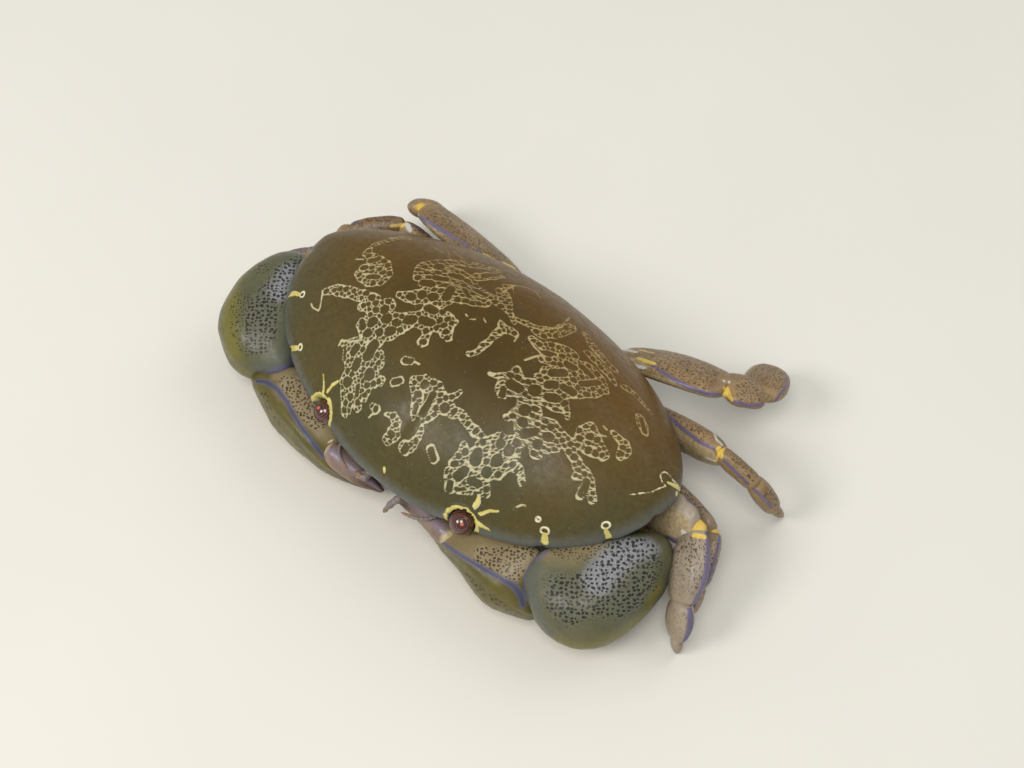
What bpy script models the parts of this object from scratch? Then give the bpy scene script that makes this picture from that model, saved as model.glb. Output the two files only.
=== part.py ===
# Floral egg crab (Atergatis floridus), life size, resting with both claws
# folded in front of the mouth.
#
# Body frame used for the design, in millimetres: +X is the animal's left,
# -Y is its front, +Z is up.  Z = 0 is the level of the side edge of the
# carapace, Y = 0 is the row of its two side corners.  FRAME moves this to the
# finished frame, whose origin is at the middle of the foot of the whole model.

import math

import bmesh
import bpy
import numpy as np
from mathutils import Vector

# ---------------------------------------------------------------- sizes (mm)
MM = 0.001
FLOOR = -11.5               # level of everything that the animal rests on
FRAME = (-0.25, -1.386, -FLOOR)  # design frame -> finished frame

HALF_WIDTH = 25.2           # carapace, at its widest
WAIST_Y = -1.9              # row where front and rear outlines meet
FRONT_LEN = 16.8            # waist row to front edge
REAR_LEN = 15.4             # waist row to the rear corner of the outline
REAR_CUT = 15.0             # waist row to the straight rear edge
FRONT_POWER, REAR_POWER = 2.18, 1.58
DOME = 7.6                  # crown above the side edge
FRONT_DROP, REAR_DROP = 2.5, 7.0
SHELL_FLOOR = -5.3          # lower face of the carapace
GAP = 0.3                   # clearance between neighbouring pieces

EYE_AT = (10.0, -17.25, -1.85)
EYE_R = 1.35

# ---------------------------------------------------------------- clean start
for ob in list(bpy.data.objects):
    bpy.data.objects.remove(ob, do_unlink=True)

CRAB = bpy.data.collections.new("floral_egg_crab")
CUTTERS = bpy.data.collections.new("cutters")
bpy.context.scene.collection.children.link(CRAB)
bpy.context.scene.collection.children.link(CUTTERS)


def material(name, rgb, rough):
    """Glossy shell material of one colour."""
    m = bpy.data.materials.new(name)
    m.use_nodes = True
    p = m.node_tree.nodes["Principled BSDF"]
    p.inputs["Base Color"].default_value = (*rgb, 1.0)
    p.inputs["Roughness"].default_value = rough
    p.inputs["Metallic"].default_value = 0.0
    return m


def finish(bm, name, rgb, rough=0.35, cutter=False):
    """Turn a design-frame bmesh into a placed, smooth-shaded object."""
    for v in bm.verts:
        v.co = Vector(((v.co.x + FRAME[0]) * MM, (v.co.y + FRAME[1]) * MM,
                       (v.co.z + FRAME[2]) * MM))
    mid = sum((v.co for v in bm.verts), Vector()) / len(bm.verts)
    for v in bm.verts:
        v.co -= mid
    me = bpy.data.meshes.new(name)
    bm.to_mesh(me)
    bm.free()
    me.shade_smooth()
    me.set_sharp_from_angle(angle=math.radians(50))
    ob = bpy.data.objects.new(name, me)
    ob.location = mid
    (CUTTERS if cutter else CRAB).objects.link(ob)
    if cutter:
        ob.hide_render = True
        ob.display_type = "WIRE"
    else:
        me.materials.append(material(name, rgb, rough))
    return ob


# ---------------------------------------------------------------- curves
def hermite(knots, values, t):
    """Smooth curve through values at rising knots (Catmull-Rom slopes)."""
    values = [np.asarray(v, float) for v in values]
    n = len(values)
    if n == 1:
        return values[0]
    i = min(max(int(np.searchsorted(knots, t)) - 1, 0), n - 2)

    def slope(j):
        lo, hi = max(j - 1, 0), min(j + 1, n - 1)
        return (values[hi] - values[lo]) / (knots[hi] - knots[lo])

    h = knots[i + 1] - knots[i]
    u = min(max((t - knots[i]) / h, 0.0), 1.0)
    a, b = slope(i) * h, slope(i + 1) * h
    return ((2 * u ** 3 - 3 * u ** 2 + 1) * values[i] + (u ** 3 - 2 * u ** 2 + u) * a
            + (-2 * u ** 3 + 3 * u ** 2) * values[i + 1] + (u ** 3 - u ** 2) * b)


def unit(v):
    return v / np.linalg.norm(v)


def segment(name, path, sizes, up, rgb, around=10, along=8, blunt=0.6, crest=0.0,
            rough=0.35, cutter=False, grow=0.0, square=1.0, crest_turn=90.0):
    """Rounded closed segment along path.

    sizes holds (half thickness, half height) at each point of the path, up is
    the direction of its upper edge, crest raises a ridge at crest_turn degrees
    around the section, and below 1 blunt squares the two ends and square the
    section.  Nothing goes below the floor.
    """
    pts = [np.asarray(p, float) for p in path]
    knots = np.concatenate([[0], np.cumsum([np.linalg.norm(b - a)
                                            for a, b in zip(pts, pts[1:])])])
    knots = knots / knots[-1]
    ups = up if isinstance(up[0], (tuple, list)) else [up] * len(pts)
    bm = bmesh.new()
    bmesh.ops.create_uvsphere(bm, u_segments=around, v_segments=along, radius=1.0)
    for v in bm.verts:
        c = min(max(v.co.z, -1.0), 1.0)
        t = 0.5 * (1 - math.copysign(abs(c) ** blunt, c))
        k = math.sqrt(max(0.0, 1 - c * c)) ** blunt
        turn = math.atan2(v.co.y, v.co.x)
        centre = hermite(knots, pts, t)
        d = 0.02
        along_dir = unit(hermite(knots, pts, min(t + d, 1)) - hermite(knots, pts, max(t - d, 0)))
        u0 = unit(hermite(knots, ups, t))
        side = unit(np.cross(along_dir, u0))
        top = np.cross(side, along_dir)
        a, b = hermite(knots, sizes, t)
        a, b = max(a, 0.28) + grow, max(b, 0.28) + grow
        ridge = crest * k * max(math.cos(turn - math.radians(crest_turn)), 0) ** 6
        cu = math.copysign(abs(math.cos(turn)) ** square, math.cos(turn))
        su = math.copysign(abs(math.sin(turn)) ** square, math.sin(turn))
        co = centre + side * (a * k * cu + ridge * math.cos(turn)) + top * (b * k * su + ridge * math.sin(turn))
        if grow:
            co = co + along_dir * grow * math.copysign(abs(c), -c)
        if not cutter:
            co[2] = max(co[2], FLOOR)
        v.co = Vector(co)
    return finish(bm, name, rgb, rough, cutter)


def ball(name, centre, radius, rgb, around=14, rings=9, rough=0.1, cutter=False):
    bm = bmesh.new()
    bmesh.ops.create_uvsphere(bm, u_segments=around, v_segments=rings, radius=radius)
    bmesh.ops.translate(bm, verts=bm.verts, vec=Vector(centre))
    return finish(bm, name, rgb, rough, cutter)


def cut(ob, cutter):
    m = ob.modifiers.new("cut_" + cutter.name, "BOOLEAN")
    m.operation = "DIFFERENCE"
    m.solver = "EXACT"
    m.object = cutter


# ---------------------------------------------------------------- carapace
def outline(turn):
    """Edge of the carapace in plan at an angle about the waist point."""
    c, s = abs(math.cos(turn)), math.sin(turn)
    if s < 0:
        r = ((c / HALF_WIDTH) ** FRONT_POWER + (-s / FRONT_LEN) ** FRONT_POWER) ** (-1 / FRONT_POWER)
    else:
        r = ((c / HALF_WIDTH) ** REAR_POWER + (s / REAR_LEN) ** REAR_POWER) ** (-1 / REAR_POWER)
        if s > 1e-6:
            r = (r ** -9 + (REAR_CUT / s) ** -9) ** (-1 / 9)
    x, y = r * math.cos(turn), WAIST_Y + r * s
    if s < 0:  # the brow stands a little proud between the eyes
        y -= 0.55 * math.exp(-(x / 7.0) ** 4)
    return x, y


def edge_level(y):
    if y < WAIST_Y:
        return -FRONT_DROP * min(1.0, (WAIST_Y - y) / FRONT_LEN) ** 2
    return -REAR_DROP * min(1.0, (y - WAIST_Y) / REAR_CUT) ** 1.5


def shell_floor(y):
    return SHELL_FLOOR - 0.24 * max(0.0, y)


def carapace(name="carapace", grow=0.0):
    bm = bmesh.new()
    rings = 20
    bmesh.ops.create_uvsphere(bm, u_segments=42, v_segments=rings, radius=1.0)
    top_share = 0.64
    for v in bm.verts:
        s = math.acos(min(max(v.co.z, -1.0), 1.0)) / math.pi
        turn = math.atan2(v.co.y, v.co.x)
        ex, ey = outline(turn)
        if s <= top_share:
            rho = math.sin(math.pi / 2 * s / top_share)
        else:
            q = (s - top_share) / (1 - top_share)
            rho = 1 - 0.34 * min(q / 0.6, 1.0) if q < 0.6 else 0.66 * (1 - (q - 0.6) / 0.4)
        x, y = rho * ex, WAIST_Y + rho * (ey - WAIST_Y)
        level = edge_level(ey)
        if s <= top_share:
            z = level + (DOME - level) * max(0.0, 1 - rho ** 2) ** (1 / 1.5)
        else:
            k = min(q / 0.6, 1.0)
            z = level + (shell_floor(y) - level) * k ** 0.85
        v.co = Vector((x, y, z))
    if grow:
        bm.normal_update()
        shifted = [v.co + v.normal * grow for v in bm.verts]
        for v, co in zip(bm.verts, shifted):
            v.co = co
    return finish(bm, name, (0.16, 0.12, 0.06), 0.3, cutter=bool(grow))


shell = carapace()
shell_room = carapace("cut_shell", GAP + 0.05)

# ---------------------------------------------------------------- underside
def thorax():
    """Breast plate with the bases of the ten legs along its sides."""
    bm = bmesh.new()
    bmesh.ops.create_uvsphere(bm, u_segments=26, v_segments=10, radius=1.0)
    for v in bm.verts:
        s = math.acos(min(max(v.co.z, -1.0), 1.0)) / math.pi
        turn = math.atan2(v.co.y, v.co.x)
        c, sn = math.cos(turn), math.sin(turn)
        r = ((abs(c) / 11.6) ** 2.6 + (abs(sn) / (11.4 if sn < 0 else 10.6)) ** 2.6) ** (-1 / 2.6)
        rho = math.sin(math.pi * s) ** 0.45
        x, y = r * rho * c, r * rho * sn - 0.6
        top = shell_floor(y) - GAP
        low = -10.15 + 0.09 * abs(x) + 0.02 * max(0.0, -y - 6) ** 1.5
        lift = 0.5 * (1 + math.copysign(abs(v.co.z) ** 0.5, v.co.z))
        v.co = Vector((x, y, low + (top - low) * lift))
    return finish(bm, "thorax", (0.42, 0.33, 0.24), 0.45)


thorax()
segment("abdomen", [(0, 12.4, -8.75), (0, 12.3, -9.9), (0, 10.0, -10.72), (0, 4, -10.8), (0, -4.5, -10.75)],
        [(5.4, 0.55), (5.4, 0.4), (5.0, 0.36), (3.4, 0.36), (1.1, 0.34)],
        [(0, 1, 0.1), (0, 1, 0), (0, 0.25, -1), (0, 0, -1), (0, 0, -1)],
        (0.45, 0.36, 0.26), around=12, along=10, blunt=0.55)

# ---------------------------------------------------------------- the limbs
SHELL_BROWN = (0.23, 0.17, 0.12)
CLAW_GREY = (0.17, 0.17, 0.15)
CLAW_OLIVE = (0.14, 0.12, 0.05)
FINGER = (0.16, 0.10, 0.09)

# Claw legs.  Each entry: path, half sizes, upper direction.
CLAWS = {
    "L": {
        "merus": ([(11.3, -6.0, -8.2), (17, -4.6, -8.1), (22.4, -2.9, -8.3)],
                  [(1.5, 1.5), (1.7, 1.8), (1.4, 1.5)], (0, 0, 1)),
        "carpus": ([(26.3, -3.7, -5.6), (25.5, -8.5, -5.5), (23.1, -13.6, -5.5), (19.6, -17.8, -5.4)],
                   [(2.6, 3.4), (4.2, 4.7), (6.1, 4.9), (4.4, 4.3)], (0, 0, 1)),
        "palm": ([(20.9, -17.9, -7.4), (16.6, -17.0, -7.0), (11.6, -17.1, -6.9), (9.0, -17.2, -7.8),
                  (6.6, -17.0, -8.9), (2.2, -17.2, -8.8)],
                 [(2.1, 2.9), (3.6, 3.9), (2.7, 3.4), (1.9, 2.35), (1.15, 1.2), (0.5, 0.5)],
                 (0, -0.12, 0.99)),
        "dactyl": ([(9.3, -18.4, -5.1), (6.6, -17.7, -5.7), (4.0, -17.5, -6.0), (1.1, -17.9, -6.9)],
                   [(1.5, 1.7), (1.35, 1.4), (1.1, 1.2), (0.4, 0.4)], (0, -0.28, 0.96)),
    },
    "R": {
        "merus": ([(-11.3, -6.0, -8.2), (-17, -4.8, -8.1), (-22.6, -3.7, -8.4)],
                  [(1.5, 1.5), (1.7, 1.8), (1.4, 1.5)], (0, 0, 1)),
        "carpus": ([(-27.8, -2.7, -5.7), (-26.7, -6.6, -5.6), (-24.5, -11.8, -5.5), (-20.0, -16.4, -5.4)],
                   [(2.6, 3.4), (4.2, 4.7), (5.6, 4.9), (4.4, 4.3)], (0, 0, 1)),
        "palm": ([(-21.4, -16.9, -7.4), (-15.6, -16.6, -7.0), (-10.4, -17.7, -7.0), (-7.8, -18.2, -8.0),
                  (-5.4, -18.0, -9.2), (-1.6, -17.4, -9.0)],
                 [(2.1, 2.9), (3.6, 3.9), (2.9, 3.65), (2.1, 2.6), (1.25, 1.3), (0.5, 0.5)],
                 (0, -0.12, 0.99)),
        "dactyl": ([(-8.0, -19.1, -5.1), (-5.6, -18.9, -5.6), (-3.4, -18.7, -6.0), (-0.7, -18.3, -6.9)],
                   [(1.5, 1.7), (1.35, 1.4), (1.1, 1.2), (0.4, 0.4)], (0, -0.28, 0.96)),
    },
}
CLAW_LOOK = {"merus": (SHELL_BROWN, 10, 8, 0.0), "carpus": (CLAW_GREY, 18, 11, 0.0),
             "palm": (CLAW_OLIVE, 16, 15, 0.35), "dactyl": (FINGER, 10, 10, 0.1)}
for side, parts in CLAWS.items():
    for part, (path, sizes, up) in parts.items():
        rgb, around, along, crest = CLAW_LOOK[part]
        form = {"blunt": 0.66 if part == "carpus" else 0.62, "crest": crest,
                "square": {"carpus": 0.86, "palm": 0.72}.get(part, 1.0),
                "crest_turn": 90 if part != "palm" else (125 if side == "L" else 55)}
        made = segment("cheliped_%s_%s" % (side, part), path, sizes, up, rgb, around, along, **form)
        if part == "carpus":
            wrist = made
        if part == "dactyl":  # the palm makes room for the movable finger
            cut(hand, segment("cut_dactyl_" + side, path, sizes, up, rgb, around, along,
                              cutter=True, grow=GAP + 0.05, **form))
        if part == "palm":  # the palm's base is nested in the open end of the carpus
            hand = made
            cut(wrist, segment("cut_palm_" + side, path, sizes, up, rgb, around, along,
                               cutter=True, grow=GAP + 0.05, **form))
            cut(wrist, shell_room)
            cut(hand, shell_room)

# Walking legs: joints from the hip outward, then half sizes and the
# direction of the crested upper edge of each of the four segments.
LEGS = {
    "L2": ([(15.3, -0.6, -7.4), (28.5, -2.1, -2.2), (32.1, -7.9, -5.5), (33.5, -9.8, -8.7), (33.8, -10.0, -11.6)],
           [(1.3, 2.75), (1.3, 2.6), (1.2, 2.0), (0.75, 1.0)],
           [(-0.1, 0.45, 0.9), (0.5, 0.42, 0.72), (0.8, -0.3, 0.3), (0.8, -0.5, 0.2)]),
    "L3": ([(15.3, 2.9, -7.8), (29.3, -0.2, -4.7), (31.0, -4.5, -7.6), (31.6, -6.4, -9.8), (32.2, -7.3, -11.6)],
           [(1.3, 2.2), (1.2, 1.6), (1.1, 1.2), (0.7, 0.8)],
           [(-0.2, 0.3, 1), (0.5, 0.2, 0.8), (0.3, 0, 1), (0.2, 0, 1)]),
    "L4": ([(12.6, 8.0, -7.6), (25.0, 6.7, -2.1), (29.3, 7.1, -3.8), (31.5, 8.0, -7.5), (32.0, 10.0, -11.6)],
           [(1.6, 2.1), (1.4, 1.7), (1.1, 1.35), (0.7, 0.85)],
           [(-0.3, -0.1, 1), (0.3, -0.3, 0.9), (0.8, -0.4, 0.4), (0.9, -0.3, 0.2)]),
    "L5": ([(7.9, 11.4, -5.6), (20.3, 13.9, -2.5), (22.9, 16.4, -3.8), (21.1, 21.6, -7.0), (20.6, 23.4, -11.6)],
           [(1.15, 3.0), (1.2, 2.7), (1.15, 2.5), (0.7, 1.1)],
           [(0.1, -0.85, 0.5), (0.6, -0.7, 0.4), (0.8, -0.4, 0.4), (0.9, -0.3, 0.3)]),
    "R2": ([(-15.0, 0.4, -7.9), (-25.8, -0.5, -7.1), (-29.9, -0.2, -9.0), (-32.8, -2.6, -10.3), (-34.0, -5.2, -11.6)],
           [(1.2, 1.9), (1.2, 1.5), (1.1, 1.1), (0.7, 0.8)],
           [(0.1, 0, 1), (-0.4, 0, 1), (-0.3, 0, 1), (-0.2, 0, 1)]),
    "R3": ([(-14.6, 4.0, -8.2), (-24.4, 3.8, -8.0), (-26.2, 6.2, -9.1), (-26.5, 8.9, -9.9), (-25.8, 10.6, -11.6)],
           [(1.2, 1.8), (1.2, 1.35), (1.1, 1.1), (0.7, 0.8)],
           [(0.1, 0, 1), (-0.3, 0, 1), (-0.2, 0, 1), (-0.2, 0, 1)]),
    "R4": ([(-11.4, 8.1, -7.9), (-22.0, 7.3, -3.9), (-26.0, 3.0, -4.4), (-28.0, 2.9, -8.2), (-29.2, 3.4, -11.6)],
           [(1.3, 1.95), (1.3, 1.5), (1.1, 1.3), (0.7, 0.85)],
           [(0.3, -0.1, 1), (-0.3, 0.1, 1), (-0.8, 0, 0.5), (-0.8, 0, 0.3)]),
    "R5": ([(-7.4, 11.4, -5.9), (-21.2, 10.4, -2.8), (-22.6, 12.4, -6.2), (-22.6, 14.8, -9.4), (-22.2, 15.8, -11.6)],
           [(1.15, 3.0), (1.2, 2.1), (1.1, 1.7), (0.7, 0.9)],
           [(0, -0.78, 0.62), (-0.5, -0.7, 0.5), (-0.8, -0.4, 0.4), (-0.9, -0.3, 0.3)]),
}
PROFILE = {  # share of the nominal half size near hip end, middle and far end
    "merus": (0.62, 1.0, 0.82), "carpus": (0.62, 1.0, 0.75),
    "propodus": (0.8, 1.0, 0.7), "dactyl": (0.95, 0.75, 0.4)}
for leg, (joints, half, ups) in LEGS.items():
    runs = [unit(np.subtract(q, p)) for p, q in zip(joints, joints[1:])]
    # half of the gap at each joint, wider where the leg bends sharply
    room = [GAP / 2 + 0.2] + [GAP / 2 + 0.2 + 0.7 * max(0.0, 0.75 - float(p @ q))
                              for p, q in zip(runs, runs[1:])] + [0.0]
    for k, part in enumerate(("merus", "carpus", "propodus", "dactyl")):
        a, b = np.array(joints[k]), np.array(joints[k + 1])
        d = runs[k]
        start, end = a + d * room[k], b - d * room[k + 1]
        p = PROFILE[part]
        sizes = [(half[k][0] * f, half[k][1] * f) for f in p]
        made = segment("leg_%s_%s" % (leg, part), [start, (start + end) / 2, end], sizes, ups[k],
                       SHELL_BROWN, 8, 7, blunt=0.7 if part == "dactyl" else 0.62, crest=0.12)
        if part == "merus" and leg in ("L2", "L4", "L5", "R4", "R5"):
            cut(made, shell_room)  # the hip ends lie pressed under the shell

# ---------------------------------------------------------------- the head
for side, sx in (("L", 1), ("R", -1)):
    eye = (EYE_AT[0] * sx, EYE_AT[1], EYE_AT[2])
    ball("eye_" + side, eye, EYE_R, (0.10, 0.02, 0.015))
    stalk = [(sx * 8.3, -15.0, -3.8), (sx * 9.5, -16.3, -3.72)]
    segment("eyestalk_" + side, stalk, [(0.6, 0.45), (0.8, 0.55)], (0, 0, 1), (0.2, 0.15, 0.12), 10, 6)
    socket = ball("cut_socket_" + side, eye, EYE_R + GAP + 0.05, (0, 0, 0), cutter=True)
    trench = segment("cut_stalk_" + side, stalk, [(0.6, 0.45), (0.8, 0.55)], (0, 0, 1), (0, 0, 0),
                     16, 10, cutter=True, grow=GAP + 0.1)
    cut(shell, socket)
    cut(shell, trench)
    segment("antenna_" + side,
            [(sx * 6.9, -17.3, -3.72), (sx * 6.5, -18.5, -3.68), (sx * 5.6, -19.4, -3.5), (sx * 3.9, -20.0, -3.5)],
            [(0.28, 0.28), (0.28, 0.28), (0.28, 0.28), (0.28, 0.28)], (0, 0.2, 1), (0.3, 0.22, 0.15), 6, 8)
    segment("maxilliped_" + side,
            [(sx * 3.0, -14.4, -5.9), (sx * 2.9, -14.1, -8.0), (sx * 2.3, -12.9, -10.3)],
            [(2.3, 0.6), (2.6, 0.65), (1.8, 0.55)], (0, -1, -0.1), (0.4, 0.3, 0.24), 10, 8, blunt=0.5)
segment("antennule_L", [(2.7, -17.6, -4.1), (2.1, -19.3, -4.4), (1.2, -20.2, -6.6)],
        [(0.5, 0.5), (0.42, 0.42), (0.3, 0.3)], (0, 0.2, 1), (0.4, 0.45, 0.55), 6, 7)
segment("antennule_R", [(-2.4, -17.6, -4.1), (-2.2, -19.2, -4.3), (-3.4, -19.5, -4.0)],
        [(0.5, 0.5), (0.42, 0.42), (0.3, 0.3)], (0, 0.2, 1), (0.4, 0.45, 0.55), 6, 7)
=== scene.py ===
# Looks of the life-size still model of a floral egg crab (Atergatis floridus).
#
# Everything is laid out in the design frame of the solids, in millimetres:
# +X the animal's left, -Y its front, +Z up, Z = 0 the level of the side edge
# of the carapace.  place() moves it to the finished frame, in metres.

import math

import bpy
import numpy as np
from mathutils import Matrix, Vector
from mathutils.bvhtree import BVHTree


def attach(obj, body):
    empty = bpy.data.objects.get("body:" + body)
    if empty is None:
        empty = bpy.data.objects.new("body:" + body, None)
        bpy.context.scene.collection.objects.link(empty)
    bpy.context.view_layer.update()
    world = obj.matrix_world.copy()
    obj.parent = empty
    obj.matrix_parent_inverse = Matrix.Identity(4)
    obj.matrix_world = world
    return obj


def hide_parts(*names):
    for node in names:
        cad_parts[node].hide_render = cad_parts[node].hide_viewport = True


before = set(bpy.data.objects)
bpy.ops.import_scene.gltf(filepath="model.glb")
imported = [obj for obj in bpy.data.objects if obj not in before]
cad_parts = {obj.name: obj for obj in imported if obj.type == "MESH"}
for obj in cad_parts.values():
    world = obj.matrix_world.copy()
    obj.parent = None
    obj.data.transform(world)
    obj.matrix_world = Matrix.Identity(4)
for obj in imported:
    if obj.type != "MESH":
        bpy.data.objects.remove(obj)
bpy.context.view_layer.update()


MM = 0.001
FLOOR = -11.5
FRAME = np.array([-0.25, -1.386, -FLOOR])
HALF_WIDTH, WAIST_Y, FRONT_LEN, REAR_LEN, REAR_CUT = 25.2, -1.9, 16.8, 15.4, 15.0
FRONT_POWER, REAR_POWER = 2.18, 1.58
DOME, FRONT_DROP, REAR_DROP, SHELL_FLOOR = 7.6, 2.5, 7.0, -5.3
EYE_AT, EYE_R = np.array([10.0, -17.25, -1.85]), 1.35
SOCKET_R = 1.50


def place(co):
    return (np.asarray(co, float) + FRAME) * MM


def unit(v):
    v = np.asarray(v, float)
    return v / np.maximum(np.linalg.norm(v, axis=-1, keepdims=True), 1e-12)


def smooth(x, lo, hi):
    u = np.clip((np.asarray(x, float) - lo) / (hi - lo), 0, 1)
    return u * u * (3 - 2 * u)


# ------------------------------------------------------------------ camera
AZ, EL = math.radians(41.483), math.radians(57.583)
BACK = np.array([math.sin(AZ) * math.cos(EL), -math.cos(AZ) * math.cos(EL), math.sin(EL)])
RIGHT = np.array([math.cos(AZ), math.sin(AZ), 0.0])
UP = np.cross(BACK, RIGHT)
EYE_POINT = np.array([3.543, -2.271, 0.0]) + BACK * 175.493
LENS, SENSOR = 58.2, 36.0
FOCAL = LENS / SENSOR * 1024


def ray(px):
    """Directions from the camera through pixels of the 1024 x 768 frame."""
    px = np.atleast_2d(np.asarray(px, float))
    return unit(((px[:, 0] - 512) / FOCAL)[:, None] * RIGHT
                + (-(px[:, 1] - 384) / FOCAL)[:, None] * UP - BACK)


cam_data = bpy.data.cameras.new("camera")
cam_data.lens = LENS
cam_data.sensor_width = SENSOR
cam_data.sensor_fit = "HORIZONTAL"
cam_data.clip_start, cam_data.clip_end = 0.005, 20
cam = bpy.data.objects.new("camera", cam_data)
bpy.context.scene.collection.objects.link(cam)
rot = np.eye(4)
rot[:3, 0], rot[:3, 1], rot[:3, 2] = RIGHT, UP, BACK
rot[:3, 3] = place(EYE_POINT)
from mathutils import Matrix
cam.matrix_world = Matrix(rot.tolist())
bpy.context.scene.camera = cam


# --------------------------------------------------------------- materials
def srgb(r, g, b):
    def lin(c):
        c = c / 255
        return c / 12.92 if c <= 0.04045 else ((c + 0.055) / 1.055) ** 2.4
    return (lin(r), lin(g), lin(b), 1.0)


class Look:
    """A Principled material with short calls for its node graph."""

    def __init__(self, name, rough=0.35, **sockets):
        self.m = bpy.data.materials.new(name)
        self.m.use_nodes = True
        self.t = self.m.node_tree
        self.p = self.t.nodes["Principled BSDF"]
        self.p.inputs["Roughness"].default_value = rough
        for key, value in sockets.items():
            self.p.inputs[key.replace("_", " ")].default_value = value
        coord = self.t.nodes.new("ShaderNodeTexCoord")
        scale = self.t.nodes.new("ShaderNodeVectorMath")
        scale.operation = "SCALE"
        scale.inputs["Scale"].default_value = 1000.0
        self.t.links.new(coord.outputs["Object"], scale.inputs[0])
        self.mm = scale.outputs[0]

    def put(self, socket, value):
        if value is None:
            return
        if isinstance(value, bpy.types.NodeSocket):
            self.t.links.new(value, socket)
        else:
            socket.default_value = value

    def attr(self, name):
        n = self.t.nodes.new("ShaderNodeAttribute")
        n.attribute_name = name
        return n.outputs["Fac"]

    def math(self, op, a, b=None, c=None, clamp=False):
        n = self.t.nodes.new("ShaderNodeMath")
        n.operation = op
        n.use_clamp = clamp
        for k, v in enumerate((a, b, c)):
            self.put(n.inputs[k], v)
        return n.outputs[0]

    def add(self, a, b):
        return self.math("ADD", a, b)

    def mul(self, a, b):
        return self.math("MULTIPLY", a, b)

    def sub(self, a, b):
        return self.math("SUBTRACT", a, b)

    def ramp(self, x, lo, hi, to0=0.0, to1=1.0):
        n = self.t.nodes.new("ShaderNodeMapRange")
        n.interpolation_type = "SMOOTHSTEP"
        self.put(n.inputs["Value"], x)
        for key, v in (("From Min", lo), ("From Max", hi), ("To Min", to0), ("To Max", to1)):
            n.inputs[key].default_value = v
        return n.outputs["Result"]

    def mix(self, fac, a, b, mode="MIX"):
        n = self.t.nodes.new("ShaderNodeMix")
        n.data_type = "RGBA"
        n.blend_type = mode
        self.put(n.inputs[0], fac)
        self.put(n.inputs[6], a)
        self.put(n.inputs[7], b)
        return n.outputs[2]

    def noise(self, scale, detail=3.0, rough=0.5, vec=None, distort=0.0):
        n = self.t.nodes.new("ShaderNodeTexNoise")
        n.inputs["Scale"].default_value = scale
        n.inputs["Detail"].default_value = detail
        n.inputs["Roughness"].default_value = rough
        n.inputs["Distortion"].default_value = distort
        self.put(n.inputs["Vector"], vec if vec is not None else self.mm)
        return n.outputs["Fac"]

    def voronoi(self, scale, feature="F1", vec=None, randomness=1.0, out="Distance"):
        n = self.t.nodes.new("ShaderNodeTexVoronoi")
        n.feature = feature
        n.inputs["Scale"].default_value = scale
        n.inputs["Randomness"].default_value = randomness
        self.put(n.inputs["Vector"], vec if vec is not None else self.mm)
        return n.outputs[out]

    def warped(self, scale, amount):
        """Position in mm, shifted by smooth noise."""
        n = self.t.nodes.new("ShaderNodeTexNoise")
        n.inputs["Scale"].default_value = scale
        n.inputs["Detail"].default_value = 2.0
        self.put(n.inputs["Vector"], self.mm)
        s = self.t.nodes.new("ShaderNodeVectorMath")
        s.operation = "SCALE"
        s.inputs["Scale"].default_value = amount
        self.t.links.new(n.outputs["Color"], s.inputs[0])
        a = self.t.nodes.new("ShaderNodeVectorMath")
        a.operation = "ADD"
        self.t.links.new(self.mm, a.inputs[0])
        self.t.links.new(s.outputs[0], a.inputs[1])
        return a.outputs[0]

    def stretched(self, x, y, z, vec=None):
        n = self.t.nodes.new("ShaderNodeVectorMath")
        n.operation = "MULTIPLY"
        self.put(n.inputs[0], vec if vec is not None else self.mm)
        n.inputs[1].default_value = (x, y, z)
        return n.outputs[0]

    def spots(self, scale, size, soft=0.05, vec=None, uneven=0.5):
        """1 inside round spots of uneven size, one to a cell of 1/scale mm."""
        n = self.t.nodes.new("ShaderNodeTexVoronoi")
        n.inputs["Scale"].default_value = scale
        self.put(n.inputs["Vector"], vec if vec is not None else self.mm)
        sep = self.t.nodes.new("ShaderNodeSeparateColor")
        self.t.links.new(n.outputs["Color"], sep.inputs[0])
        radius = self.add(self.mul(sep.outputs[0], size * uneven), size * (1 - uneven))
        return self.ramp(self.sub(radius, n.outputs["Distance"]), -soft, soft)

    def plane(self, vec, ax, ay):
        """Position flattened along ax x ay, for spots that lie on a surface."""
        out = self.t.nodes.new("ShaderNodeCombineXYZ")
        for k, axis in enumerate((ax, ay)):
            n = self.t.nodes.new("ShaderNodeVectorMath")
            n.operation = "DOT_PRODUCT"
            self.put(n.inputs[0], vec)
            n.inputs[1].default_value = [float(c) for c in axis]
            self.t.links.new(n.outputs["Value"], out.inputs[k])
        return out.outputs[0]

    def pair(self, a, b):
        out = self.t.nodes.new("ShaderNodeCombineXYZ")
        self.put(out.inputs[0], a)
        self.put(out.inputs[1], b)
        return out.outputs[0]

    def dots(self, vec, scale, size, soft=0.06, uneven=0.4, randomness=0.75):
        """1 inside spots set evenly over flat coordinates, one to a cell of 1/scale mm."""
        n = self.t.nodes.new("ShaderNodeTexVoronoi")
        n.voronoi_dimensions = "2D"
        n.inputs["Scale"].default_value = scale
        n.inputs["Randomness"].default_value = randomness
        self.put(n.inputs["Vector"], vec)
        sep = self.t.nodes.new("ShaderNodeSeparateColor")
        self.t.links.new(n.outputs["Color"], sep.inputs[0])
        radius = self.add(self.mul(sep.outputs[0], size * uneven), size * (1 - uneven))
        return self.ramp(self.sub(radius, n.outputs["Distance"]), -soft, soft)

    def finish(self, color, height=None, depth=0.02, rough=None):
        self.put(self.p.inputs["Base Color"], color)
        if height is not None:
            n = self.t.nodes.new("ShaderNodeBump")
            n.inputs["Strength"].default_value = 0.6
            n.inputs["Distance"].default_value = depth * MM
            self.put(n.inputs["Height"], height)
            self.t.links.new(n.outputs["Normal"], self.p.inputs["Normal"])
        if rough is not None:
            self.put(self.p.inputs["Roughness"], rough)
        return self.m


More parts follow.
